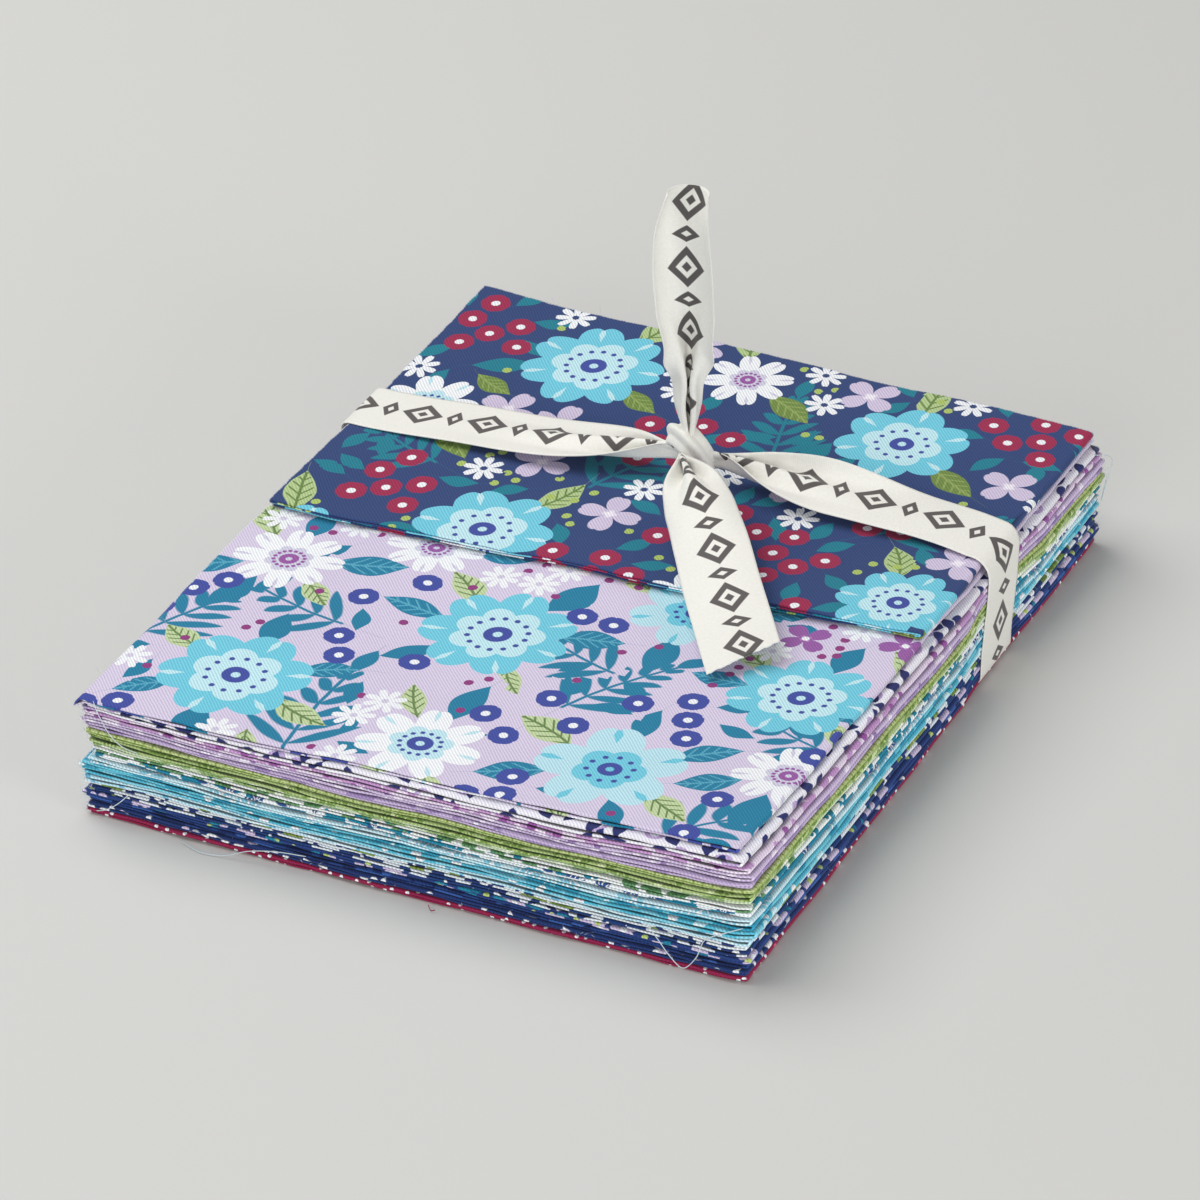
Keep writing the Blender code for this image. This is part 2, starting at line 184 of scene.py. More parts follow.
# Motif formulas. x and y run from the motif's own middle or foot, in its own lengths
def flowerShares(x, y, petals, cleft, ring, heart, soft, rich=False):
    # A petal's edge stands at 1 - cleft * c^2.2 - 0.08 * (1 - c)^8, where c goes from 0 at its tip to 1
    # between petals. A rich flower has a shallow wave in its ring, a stroke down each petal and a circle of
    # dots.
    far = (x * x + y * y).maths("SQRT")
    turn = y.maths("ARCTAN2", x) * petals / (2 * np.pi)
    between = abs(turn.maths("FRACT") - 0.5) * 2.0
    tip = between.less(1.0)
    outline = (between ** 2.2 * cleft + tip ** 8.0 * 0.08).less(1.0)
    petal = within(far, outline, soft)
    middle = within(far, heart, soft)
    if not rich:
        return petal, within(far, outline * ring, soft), middle
    ringed = within(far, (tip ** 2.0 * 0.22).less(1.0) * ring, soft)
    stroke = within(between * far + abs(far - 0.82) * 0.5, 0.10, soft)
    twice = ((turn * 2.0).maths("FRACT") - 0.5) * far * np.pi / petals
    band = far - ring * 0.62
    dots = within((twice * twice + band * band).maths("SQRT"), 0.038, soft)
    eye = middle - within(far, heart * 0.34, soft)
    return petal, ringed.maths("MAXIMUM", stroke), dots.maths("MAXIMUM", eye)


def leafShares(x, y, width, bend, veins, soft):
    # Half the width is width * sin(pi x), about a midrib that bows by bend * x (1 - x).
    rib = y - x * x.less(1.0) * bend
    side = abs(rib)
    inside = x.maths("MAXIMUM", 0.0).maths("MINIMUM", 1.0)
    half = (inside * np.pi).maths("SINE") ** 1.15 * width
    leaf = within(side, half, soft)
    slant = ((x - side * 1.1) * veins).maths("FRACT") - 0.5
    ribs = within(abs(slant) / veins, 0.020, soft) * within(side, half * 0.82, soft)
    middle = within(side, 0.020, soft)
    return leaf, ribs.maths("MAXIMUM", middle) * leaf * within(x, 0.96, soft)


def sprayShares(x, y, pairs, reach, bend, soft):
    # Pairs of leaves stand off a bowed stem: where a leaf starts is found by sliding back along its slant.
    bowed = y - x * x * bend
    side = abs(bowed)
    foot = (x - side * 0.75) * pairs
    along = side / (((foot.maths("FLOOR") + 0.5) / pairs).less(1.15) * reach)
    fat = (along.maths("MINIMUM", 1.0) * np.pi).maths("SINE") ** 0.8 * 0.36
    leaf = within(abs(foot.maths("FRACT") - 0.5), fat, soft * 12)
    leaf = leaf * within(along, 1.0, 0.02) * within(abs(foot / pairs - 0.5), 0.5, 0.01)
    stem = within(side, 0.014, soft) * within(abs(x - 0.52), 0.5, 0.02)
    tip = x - 0.98
    end = (tip.maths("MAXIMUM", 0.0).maths("MINIMUM", 0.3) / 0.3 * np.pi).maths("SINE") * 0.07
    return leaf.maths("MAXIMUM", stem).maths("MAXIMUM", within(side, end, soft))


# Weaves: the pitch of the lines that the threads make, how they slant, and how strongly they show
weaves = dict(
    cotton=dict(pitch=0.95, slant=-0.93, contrast=0.23, relief=0.02, roughness=0.86, sheen=0.12),
    ribbon=dict(pitch=0.60, slant=9.0, contrast=0.035, relief=0.03, roughness=0.58, sheen=0.2),
)


# What all the cloth shares: how much the light and dark are uneven, finely and broadly, and its surface
clothLook = dict(uneven=0.14, broad=0.10, bump=0.55, fuzz=1.6, specular=0.25, sheenRoughness=0.45)


def clothShader(colour, x, y, weave):
    # The colour, times the piece's painted shade (painted shade in the folds, painted light on their crests),
    # with the threads as slight light and dark and fine relief
    tree = x.tree
    shader = tree.nodes["Principled BSDF"]
    place = joined(tree, x, y, 0.0)
    slant, pitch = weave["slant"], weave["pitch"]
    along = (x + y * slant) / (1 + slant * slant) ** 0.5
    athwart = (y - x * slant) / (1 + slant * slant) ** 0.5
    threads = along.wave(pitch) * 0.7 + athwart.wave(pitch * 0.9) * 0.3
    uneven = noise(tree, place, 0.9, 3.0) - 0.5
    broad = noise(tree, place, 0.035, 2.0) - 0.5
    light = threads * weave["contrast"] + uneven * clothLook["uneven"] + broad * clothLook["broad"] + 1.0
    # Painted shade and painted light of the folds, multiplied into the colour
    grey = light * attribute(tree, "paintedShade", "Fac")
    tinted = blend(tree, 1.0, colour, joined(tree, grey, grey, grey), "MULTIPLY")
    tree.links.new(tinted.socket, shader.inputs["Base Color"])
    bump = tree.nodes.new("ShaderNodeBump")
    bump.inputs["Strength"].default_value = clothLook["bump"]
    bump.inputs["Distance"].default_value = weave["relief"] * mm
    plug(tree, bump.inputs["Height"], threads + uneven * clothLook["fuzz"])
    tree.links.new(bump.outputs[0], shader.inputs["Normal"])
    shader.inputs["Roughness"].default_value = weave["roughness"]
    shader.inputs["Specular IOR Level"].default_value = clothLook["specular"]
    shader.inputs["Sheen Weight"].default_value = weave["sheen"]
    shader.inputs["Sheen Roughness"].default_value = clothLook["sheenRoughness"]


def newMaterial(name):
    material = bpy.data.materials.new(name)
    material.use_nodes = True
    return material


def scattered(tree, x, y, pitch, shift):
    # Of many points strewn one to a square of the size pitch, the nearest: the place from it, turned at
    # random, and its random number
    node = tree.nodes.new("ShaderNodeTexVoronoi")
    node.voronoi_dimensions = "2D"
    node.inputs["Scale"].default_value = 1.0
    node.inputs["Randomness"].default_value = 0.62
    u, v = x / pitch + shift, y / pitch + shift * 1.7
    tree.links.new(joined(tree, u, v, 0.0).socket, node.inputs["Vector"])
    px, py, _ = parts(Value(tree, node.outputs["Position"]))
    chance, spin, _ = parts(Value(tree, node.outputs["Color"]))
    turn = spin * (2 * np.pi)
    dx, dy = u - px, v - py
    cosine, sine = turn.maths("COSINE"), turn.maths("SINE")
    return dx * cosine + dy * sine, dy * cosine - dx * sine, chance


# Small prints of the quarters of which only the edges show: ground, then motifs from the lowest layer up.
# A motif is (kind, pitch, size as a share of the pitch, share of places taken, ink, heart ink)
white, navy, teal, olive = (236, 239, 243), (36, 56, 116), (30, 130, 160), (128, 152, 72)
lilac, plum, lime, indigo = (204, 190, 220), (150, 86, 160), (184, 204, 118), (62, 76, 158)
smallPrints = dict(
    crimson_dots=((146, 30, 74), [
        ("dot", 4.4, 0.15, 0.9, white, white), ("dot", 13.0, 0.10, 0.6, (214, 96, 130), white)]),
    navy_sprinkle=((32, 54, 110), [
        ("dash", 7.0, 0.40, 0.6, white, white), ("dot", 11.0, 0.14, 0.5, lilac, white)]),
    navy_check=((34, 62, 124), [
        ("dash", 9.0, 0.62, 0.9, (22, 42, 94), white),
        ("leaf", 13.0, 0.6, 0.6, (54, 92, 164), (54, 92, 164))]),
    navy_lilac_flowers=((36, 62, 124), [
        ("flower", 13.0, 0.36, 0.7, lilac, white), ("dot", 8.0, 0.13, 0.6, lime, lime),
        ("leaf", 11.0, 0.5, 0.5, teal, teal)]),
    white_navy_motif=((222, 230, 240), [
        ("flower", 11.0, 0.46, 0.95, navy, white), ("leaf", 9.0, 0.66, 0.8, (30, 62, 120), (30, 62, 120))]),
    white_olive=((220, 230, 236), [
        ("leaf", 12.0, 0.66, 0.7, olive, (92, 118, 50)), ("ring", 9.0, 0.36, 0.7, navy, white),
        ("dash", 11.0, 0.5, 0.6, navy, navy)]),
    light_blue=((184, 222, 236), [
        ("flower", 10.0, 0.42, 0.8, (218, 238, 245), white),
        ("dash", 9.0, 0.34, 0.6, (104, 180, 210), white)]),
    aqua_mottle=((128, 204, 224), [
        ("flower", 14.0, 0.46, 0.9, (84, 184, 210), white),
        ("dot", 10.0, 0.22, 0.6, (204, 236, 243), white)]),
    aqua_deep=((100, 192, 214), [
        ("leaf", 12.0, 0.7, 0.8, (44, 150, 184), (44, 150, 184)),
        ("dash", 9.0, 0.34, 0.6, (206, 236, 243), white)]),
    pale_aqua=((200, 229, 239), [
        ("leaf", 12.0, 0.7, 0.7, (138, 200, 220), white), ("dot", 8.0, 0.16, 0.6, white, white)]),
    white_teal_leaves=((232, 239, 243), [
        ("leaf", 12.0, 0.72, 0.85, teal, teal), ("leaf", 10.0, 0.5, 0.6, (40, 78, 136), white)]),
    white_sprigs=((234, 239, 240), [
        ("leaf", 9.0, 0.6, 0.7, (104, 154, 108), (70, 116, 72)), ("flower", 11.0, 0.34, 0.7, teal, white)]),
    green_pale=((204, 220, 188), [
        ("leaf", 11.0, 0.7, 0.75, (152, 182, 122), (122, 154, 92)),
        ("dot", 9.0, 0.18, 0.6, (232, 240, 222), white)]),
    green_leaves=((164, 186, 122), [
        ("leaf", 11.0, 0.72, 0.9, (118, 148, 74), (178, 198, 132)),
        ("dash", 9.0, 0.34, 0.6, (206, 220, 170), white)]),
    lime_grid=((188, 204, 140), [("grid", 3.2, 0.11, 1.0, (142, 166, 88), white)]),
    lilac_plain=((190, 172, 208), [
        ("leaf", 12.0, 0.6, 0.7, (158, 136, 184), (158, 136, 184)), ("dot", 8.0, 0.12, 0.6, white, white)]),
    lilac_dashes=((200, 184, 216), [
        ("dash", 8.0, 0.45, 0.8, (232, 224, 240), white), ("dot", 9.0, 0.15, 0.7, (148, 120, 176), white)]),
    pink_bloom=((222, 208, 228), [
        ("flower", 15.0, 0.46, 0.9, (188, 146, 196), (232, 218, 236)),
        ("dot", 9.0, 0.18, 0.6, (148, 84, 156), white)]),
    white_rings=((232, 231, 240), [
        ("ring", 11.0, 0.32, 0.7, (186, 164, 208), white),
        ("leaf", 8.5, 0.56, 0.85, (38, 46, 104), (38, 46, 104))]),
)
# Petals, cleft and heart of the round motifs
roundMotifs = dict(flower=(5.0, 0.45, 0.26), ring=(1.0, 0.0, 0.55), dot=(1.0, 0.0, 0.0))


def smallPrint(name):
    ground, motifs = smallPrints[name]
    material = newMaterial(name)
    tree = material.node_tree
    x, y = sheetUv(tree)
    colour = blend(tree, 0.0, ground, ground)
    for layer, (kind, pitch, size, share, ink, heartInk) in enumerate(motifs):
        px, py, chance = scattered(tree, x, y, pitch, 3.1 * layer + 0.37 * len(name))
        soft = 0.16 / (pitch * size)
        px, py = px / size, py / size
        heart = None
        if kind in roundMotifs:
            petals, cleft, middle = roundMotifs[kind]
            mark, _, heart = flowerShares(px, py, petals, cleft, 0.6, middle, soft)
        elif kind == "leaf":
            mark, heart = leafShares(px * 0.5 + 0.5, py * 0.5, 0.24, 0.2, 5.0, soft)
        elif kind == "dash":
            mark, _ = leafShares(px * 0.5 + 0.5, py * 0.5, 0.20, 0.9, 5.0, soft)
        else:
            acrossLines, downLines = (abs((way / pitch).maths("FRACT") - 0.5) for way in (x, y))
            mark, chance = within(acrossLines.maths("MINIMUM", downLines), size, 0.05), None
        if chance is not None:
            mark = mark * within(chance, share, 0.001)
        inked = blend(tree, heart, ink, heartInk) if heart else blend(tree, 0.0, ink, ink)
        colour = blend(tree, mark, colour, inked)
    clothShader(cutEdgeColour(tree, colour, x, y), x, y, weaves["cotton"])
    return material


def cutEdgeColour(tree, colour, x, y):
    # Unprinted thread ends whiten the last half millimetre of the cut, unevenly.
    edge = x.maths("MINIMUM", y).maths("MINIMUM", x.less(cut["width"]))
    edge = edge.maths("MINIMUM", y.less(cut["length"]))
    ragged = edge + noise(tree, joined(tree, x, y, 0.0), 1.7, 2.0) * 0.8 - 0.4
    return blend(tree, within(ragged, 0.30, 0.4) * 0.7, colour, (236, 236, 240))


# The pile
cut = dict(width=457.2, length=572.0)  # a fat quarter, 18 by 22.5 inches
pile = dict(
    halfWidth=114.3,
    halfDepth=143.0,
    gap=0.30,  # between one folded quarter and the next
    cloth=0.30,
    sheet=0.24,  # thickness of the fine sheets
    swell=0.14,  # how much wider the fold's loop is than the leaves' pitch
    swellReach=3.0,
    bandNear=38.0,
    bandFar=68.0,
    ramp=10.0,
    channel=0.75,  # room for the ribbon below the lowest quarters
    channelQuarters=4,
    wander=0.85,  # slow rise and fall of the leaves
    turns=9,  # stations round a front or back fold
    sideTurns=11,  # and round a side fold
    jog=0.55,  # how far one fold stands out past its neighbour
    dark=0.24,  # painted shade deep between the folds
    crest=1.22,  # painted light on their crests, above the cloth's own colour
    rawLight=(0.9, 0.9),  # painted light at the raw edges, and how far it reaches
    openLight=(0.75, 2.2),  # painted light on the open leaf beside its folds, and how far it reaches
    planCorner=dict(wide=9.0, long=22.0, back=1.5),  # rounding where the front fold meets the side fold
)
# Waves of the folds and edges: height and longest pitch
waves = dict(
    side=(0.20, 70.0), left=(0.10, 45.0), leftFine=(0.08, 9.0), front=(0.26, 60.0), frontUnder=(0.26, 47.0),
    back=(0.10, 40.0), backFine=(0.07, 8.0), level=(0.035, 43.0),
)
# The tied ribbon presses the side folds in: about which line, from near to far, and how far they still reach
pinch = dict(middle=58.5, near=13.0, far=34.0, reach=113.9, topReach=110.8)
tip = dict(left=-112.6, sag=0.35, near=60.0, far=112.0, quarter=20)  # front left corner that hangs over
pileHeights = np.array([
    # distance from the middle, height at the left, in the middle and at the right
    (-143.0, 43.2, 43.4, 47.0),
    (-50.0, 42.0, 42.0, 43.4),
    (38.0, 40.6, 40.8, 41.0),
    (68.0, 40.4, 40.6, 40.8),
    (143.0, 41.2, 40.6, 40.2),
])
columns = ("name", "thick", "sideNear", "sideFar", "leftNear", "leftFar", "leftUnder",
           "frontLeft", "frontRight", "frontBow", "backOuter", "backInner")
quarters = [dict(zip(columns, row)) for row in (
    ("crimson_dots", 2.3, 0.0, 0.0, -1.9, -0.6, -0.9, 2.0, -1.6, 0.4, 0.6, -0.5),
    ("navy_sprinkle", 2.1, 0.3, 0.6, -2.4, 0.4, 0.8, 1.7, -1.4, 0.2, -0.8, 0.3),
    ("navy_check", 2.0, -0.2, 1.3, -1.0, 1.1, -1.1, 1.2, -2.0, 0.6, 1.2, 0.2),
    ("navy_lilac_flowers", 2.2, 0.5, 1.2, -0.6, -0.3, 0.9, 1.6, -1.0, -0.3, 0.1, 1.0),
    ("white_navy_motif", 2.0, -0.4, 0.2, -3.0, 0.8, -0.8, 0.9, -2.2, 0.4, -1.0, -0.2),
    ("white_olive", 2.1, -0.6, 0.6, -2.2, -1.0, 1.0, 1.4, -1.7, 0.5, 1.3, 0.4),
    ("light_blue", 2.0, 0.6, -0.3, -1.2, 0.2, -0.6, 2.0, -1.2, 0.0, -0.3, -1.1),
    ("aqua_mottle", 2.2, 1.9, 0.8, 0.1, 1.2, -1.0, 1.8, -0.8, 0.3, 0.9, 2.2),
    ("aqua_deep", 2.1, 1.4, 0.5, -0.3, -0.5, 0.7, 2.2, -1.4, -0.2, 0.2, -0.5),
    ("pale_aqua", 2.0, 1.2, 1.2, -3.1, 0.6, -1.0, 1.3, -1.1, 0.4, -0.7, 0.6),
    ("white_teal_leaves", 2.2, 0.5, 0.7, -5.2, -1.2, 0.8, 0.8, -1.9, 0.6, 1.1, 0.1),
    ("white_sprigs", 2.0, 0.7, 1.5, -4.8, -0.2, -0.9, 1.0, -1.4, 0.1, -0.4, -1.2),
    ("green_pale", 2.1, 0.0, 1.9, -5.4, 0.7, 1.0, 1.7, -2.1, 0.5, 0.6, 1.2),
    ("green_leaves", 2.2, 0.9, 2.3, -3.4, -0.8, -0.6, 1.9, -1.0, 0.2, 1.4, 0.7),
    ("lime_grid", 2.0, 1.4, 1.9, -2.6, 0.3, 0.5, 2.1, -1.4, -0.3, -0.2, 0.5),
    ("lilac_plain", 2.1, 0.6, 2.1, -2.3, 1.0, -0.8, 1.5, -0.9, 0.4, -0.9, -0.1),
    ("lilac_dashes", 2.2, 1.0, 2.3, -1.8, -0.4, 0.9, 1.9, -1.6, 0.3, 0.8, -0.7),
    ("pink_bloom", 2.3, 0.1, 1.4, -1.6, 0.5, -0.7, 1.6, -2.0, 0.6, 0.3, 1.0),
    ("white_rings", 2.4, -1.9, 0.8, -1.7, -0.1, 0.6, 1.3, -2.4, 0.4, -0.5, 0.4),
    ("lilac_floral", 2.3, -4.8, -1.8, 1.4, 0.6, -0.8, 2.2, -5.6, -1.0, 0.2, -0.6),
)]
topQuarter = dict(zip(columns, (
    "navy_floral", 3.5, -4.0, -1.7, 0.6, -0.3, -0.7, 6.0, -9.5, 0.6, 0.4, -1.2,
)))
topFold = dict(front=-9.5, back=142.0, leaves=4, innerTurn=24.0)  # its inner turn stops short of the back
levels = np.cumsum([0.0] + [quarter["thick"] for quarter in quarters])
topLevel = levels[-1] + topQuarter["thick"]


def through(knots, values, at):
    # A smooth curve through the knots: cubics whose slopes are those of the chord between the neighbours.
    knots, values = np.asarray(knots, float), np.asarray(values, float)
    slopes = np.gradient(values, knots, axis=0)
    span = np.clip(np.searchsorted(knots, at) - 1, 0, len(knots) - 2)
    width = knots[span + 1] - knots[span]
    share = (at - knots[span]) / width
    if values.ndim > 1:
        share, width = share[..., None], width[..., None]
    rise = share * share * (3 - 2 * share)
    lead = share * (1 - share) ** 2 * width * slopes[span]
    trail = share * share * (share - 1) * width * slopes[span + 1]
    return values[span] * (1 - rise) + values[span + 1] * rise + lead + trail


def smoothStep(value, low, high):
    share = np.clip((value - low) / (high - low), 0.0, 1.0)
    return share * share * (3 - 2 * share)


def pileHeight(x, y):
    # Smooth along the depth, and a parabola through the three heights across the width.
    y = np.clip(y, -pile["halfDepth"], pile["halfDepth"])
    left, middle, right = np.moveaxis(through(pileHeights[:, 0], pileHeights[:, 1:], y), -1, 0)
    across = np.clip(x / pile["halfWidth"], -1.05, 1.05)
    return middle + across * (right - left) / 2 + across**2 * ((right + left) / 2 - middle)


def height(x, y, level):
    # Height of a point at a level of the pile: the level in proportion to the pile's height there, lifted
    # over the ribbon at the bottom, with a slow wander of sines in x, y and z.
    ramp = pile["ramp"]
    rise = smoothStep(y, pile["bandNear"] - ramp, pile["bandNear"])
    rise = rise * (1 - smoothStep(y, pile["bandFar"], pile["bandFar"] + ramp))
    fade = np.clip(1 - level / levels[pile["channelQuarters"]], 0, 1)
    z = level * pileHeight(x, y) / levels[-1] + pile["channel"] * rise * fade
    part = np.clip(level / 9.0, 0, 1)
    swells = np.sin(x / 17.0 + z / 5.1 + 0.6) * np.sin(y / 21.0 - z / 6.3 + 1.9)
    swells = swells + 0.45 * np.sin(x / 9.3 - z / 4.2 + y / 31.0)
    swells = swells + 0.4 * np.sin(y / 10.7 + z / 4.7 - x / 37.0)
    return z + pile["wander"] * 0.5 * part * swells


def ripple(at, random, size, pitch):
    # A sum of sines of random phase whose heights fall as their pitches do.
    total = np.zeros_like(at)
    for share in (1.0, 0.53, 0.31, 0.17):
        total += size * share**0.8 * np.sin(2 * np.pi * at / (pitch * share) + random.uniform(0, 2 * np.pi))
    return total


def crowded(count, ends):
    # Values from 0 to 1 that crowd towards both ends.
    even = np.linspace(0.0, 1.0, count)
    return even * (1 - ends) + ends * (1 - np.cos(np.pi * even)) / 2


def sectionStations(leaves, pitch, fine):
    # Stations down the section, leaf by leaf from the back to the front fold and back again, with a half turn
    # of radius pitch / 2 at every fold: share of the depth, shift past the fold line, level over the middle,
    # leaf, swell and angle round the fold. The leaves stand wider apart close to a fold.
    stretches = []
    for leaf in range(leaves):
        count = fine["down"] if leaf == 0 else fine["downHidden"]
        steps = crowded(count, 0.9 if leaf else 0.55)
        forward = leaf % 2 == 0
        way = 1 if forward else -1
        reach = steps if forward else 1 - steps
        level = (leaves - leaf - 0.5) * pitch
        stretches.append(np.broadcast_arrays(reach, 0.0, level, leaf, 0.5 * way, 0.0))
        if leaf < leaves - 1:
            angle = np.linspace(0, np.pi, pile["turns"] + 2)[1:-1]
            shift = -way * pitch / 2 * np.sin(angle) * (1 + pile["swell"])
            level = (leaves - leaf - 1) * pitch + pitch / 2 * np.cos(angle)
            swell = 0.5 * way * np.cos(angle)
            stretches.append(np.broadcast_arrays(float(forward), shift, level, leaf + 0.5, swell, angle))
    return [np.concatenate(column) for column in zip(*stretches)]


def paintedFoldShade(number, kind, bend, turn, fromEdge, toFold, toSide):
    # Painted light on the crests of the folds and at the raw edges, painted shade between them, plain on what
    # lies open: a factor for the colour
    crest = np.maximum(np.sin(bend)[None, :], np.sin(turn)[:, None]) ** 0.8
    light, far = pile["rawLight"]
    crest = np.maximum(crest, light * np.exp(-((fromEdge / far) ** 2)))
    upward = ((kind == 0) | ((kind == 0.5) & (bend < 1.6)))[None, :] & (turn < 1.6)[:, None]
    fromFold = np.minimum(toFold[None, :], toSide)
    light, far = pile["openLight"]
    crest = np.maximum(crest, upward * light * np.exp(-((fromFold / far) ** 2)))
    # Painted shade where the share is low, painted light above the cloth's own colour where it is high
    paintedShade = pile["dark"] + (pile["crest"] - pile["dark"]) * crest
    # The top quarters show their upward faces with no painted shade or light
    if number >= len(quarters) - 1:
        paintedShade = np.where(upward, 1.0, paintedShade)
    return paintedShade


def foldedSheet(quarter, number, leaves, base, fine):
    # One sheet folded back and forth and then once sideways, as a grid. Down the grid run the stations of the
    # section. Along the grid the section is carried in from the left raw edge, half round the side fold, and
    # back.
    random = np.random.RandomState(100 + number)
    onTop = leaves > 2
    frontY, backY = (topFold["front"], topFold["back"]) if onTop else (-pile["halfDepth"], pile["halfDepth"])
    pitch = (quarter["thick"] - pile["gap"] - pile["cloth"]) / (2 * leaves - 1)
    middle = base + (quarter["thick"] - pile["gap"]) / 2
    reach, shift, level, kind, swell, bend = sectionStations(leaves, pitch, fine)
    depth = backY - frontY
    toFold = (1 - reach) * depth
    level = level + swell * pitch * pile["swell"] * np.exp(-((toFold / pile["swellReach"]) ** 2))

    # Stations along: across is 0 at the raw edge and 1 at the side fold's line, turn is the angle round it
    upperCount, lowerCount = fine["across"], fine["acrossHidden"]
    sideTurn = np.linspace(0, np.pi, pile["sideTurns"] + 2)[1:-1]
    turn = np.concatenate([np.zeros(upperCount), sideTurn, np.full(lowerCount, np.pi)])
    lower = crowded(lowerCount, 0.6)[::-1]
    across = np.concatenate([crowded(upperCount, 0.5), np.ones(len(sideTurn)), lower])
    under = smoothStep(turn, 0.0, np.pi)[:, None]

    along = across[:, None]
    y0 = backY + (frontY - backY) * reach[None, :]
    near = 0.5 - y0 / (2 * pile["halfDepth"])
    sideRadius = (leaves - 0.5) * pitch + pile["cloth"] / 2
    sideX = pile["halfWidth"] + quarter["sideNear"] * near + quarter["sideFar"] * (1 - near)
    sideX = sideX + ripple(y0, random, *waves["side"])
    held = 1 - smoothStep(np.abs(y0 - pinch["middle"]), pinch["near"], pinch["far"])
    sideX = sideX - held * np.maximum(sideX - pinch["topReach" if onTop else "reach"], 0) - sideRadius
    leftX = -pile["halfWidth"] - quarter["leftNear"] * near - quarter["leftFar"] * (1 - near)
    leftX = leftX - quarter["leftUnder"] * under
    leftX = leftX + ripple(y0, random, *waves["left"])
    leftX = leftX + ripple(y0 + kind * 31.0, random, *waves["leftFine"])
    x = leftX + (sideX - leftX) * along + level[None, :] * np.sin(turn)[:, None]

    right = 0.5 + x / (2 * pile["halfWidth"])
    bow = quarter["frontBow"] * (1 - (x / pile["halfWidth"]) ** 2)
    frontRadius = (pitch + pile["cloth"]) / 2
    front = frontY - quarter["frontLeft"] * (1 - right) - quarter["frontRight"] * right - bow + frontRadius
    upperJog, lowerJog = random.uniform(-1.0, 1.0, 2) * pile["jog"]
    front = front + (upperJog + ripple(x, random, *waves["front"])) * (1 - under)
    front = front + (lowerJog + ripple(x, random, *waves["frontUnder"])) * under
    outer = (kind == 0) | (kind == leaves - 1)
    back = np.where(outer, backY + quarter["backOuter"], backY + quarter["backInner"])[None, :]
    back = back + ripple(x + kind[None, :] * 47.0, random, *waves["back"])
    back = back + ripple(x, random, *waves["backFine"])
    if onTop:
        inside = (kind > 0.5) & (kind < leaves - 1.5)
        back = back - topFold["innerTurn"] * inside[None, :]
    y = back + (front - back) * reach[None, :] + shift[None, :]

    # Round the plan corner where the front fold meets the side fold
    corner = pile["planCorner"]
    toSide = np.clip((x - (pile["halfWidth"] - corner["wide"])) / corner["wide"], 0, 1.3)
    y = y + corner["back"] * toSide**3 * smoothStep(-y, -frontY - corner["long"], -frontY + 1.0)

    z = height(x, y, middle + level[None, :] * np.cos(turn)[:, None])
    z = z + ripple(x + y, random, *waves["level"])
    if number == tip["quarter"]:
        over = np.clip(tip["left"] - x, 0.0, None)
        z = z - tip["sag"] * over**2 * smoothStep(-y, tip["near"], tip["far"])
    points = np.stack([x, y, z], axis=-1)
    width = 2 * pile["halfWidth"]
    fromEdge = np.minimum(along * width, np.where(outer, reach * depth, 99.0)[None, :])
    # Painted shade between the folds and painted light on their crests and raw edges
    paintedShade = paintedFoldShade(number, kind, bend, turn, fromEdge, toFold, (1 - along) * width)

    # Place on the flat cut: arc lengths of the middle of the sheet, scaled to the cut's own size
    downLength = np.concatenate([[0], np.cumsum(np.hypot(np.diff(y0[0] + shift), np.diff(level)))])
    sideways = np.abs(np.diff(across)) * width + np.diff(turn) * pitch * leaves / 2
    alongLength = np.concatenate([[0], np.cumsum(sideways)])
    u = alongLength / alongLength[-1] * cut["width"]
    v = downLength / downLength[-1] * cut["length"]
    uv = np.stack(np.broadcast_arrays(u[:, None], v[None, :]), axis=-1)
    return points, uv, paintedShade


def gridMesh(name, points, uv, materials, paintedShade=None):
    # Four-sided faces over a grid of points, with the place on the flat cut as the map named cut, in metres.
    rows, cols = points.shape[:2]
    index = np.arange(rows * cols).reshape(rows, cols)
    corners = np.stack([index[:-1, :-1], index[:-1, 1:], index[1:, 1:], index[1:, :-1]], -1).reshape(-1, 4)
    paintedShade = np.ones(rows * cols) if paintedShade is None else paintedShade
    points, uv = points.reshape(-1, 3), uv.reshape(-1, 2)
    return quadMesh(name, points, corners, uv, materials, paintedShade.ravel()), corners


def quadMesh(name, points, corners, uv, materials, paintedShade):
    mesh = bpy.data.meshes.new(name)
    mesh.vertices.add(len(points))
    mesh.vertices.foreach_set("co", (points * mm).astype(np.float32).ravel())
    mesh.loops.add(corners.size)
    mesh.loops.foreach_set("vertex_index", corners.astype(np.int32).ravel())
    mesh.polygons.add(len(corners))
    mesh.polygons.foreach_set("loop_start", np.arange(0, corners.size, 4, dtype=np.int32))
    mesh.update(calc_edges=True)
    flat = mesh.uv_layers.new(name="cut")
    flat.data.foreach_set("uv", (uv[corners.ravel()] * mm).astype(np.float32).ravel())
    # The painted shade of each point, a factor that the shader multiplies into the colour; 1 where nothing is
    # painted
    mesh.attributes.new("paintedShade", "FLOAT", "POINT").data.foreach_set("value", paintedShade.astype(np.float32))
    mesh.shade_smooth()
    for material in materials:
        mesh.materials.append(material)
    piece = bpy.data.objects.new(name, mesh)
    bpy.context.scene.collection.objects.link(piece)
    return piece


def thicken(piece, thickness, other=0):
    # A sheet's two skins; other is the material of its second side, counted from the first.
    solid = piece.modifiers.new("cloth", "SOLIDIFY")
    solid.thickness = thickness * mm
    solid.offset = 0.0
    solid.material_offset = other
    solid.material_offset_rim = other


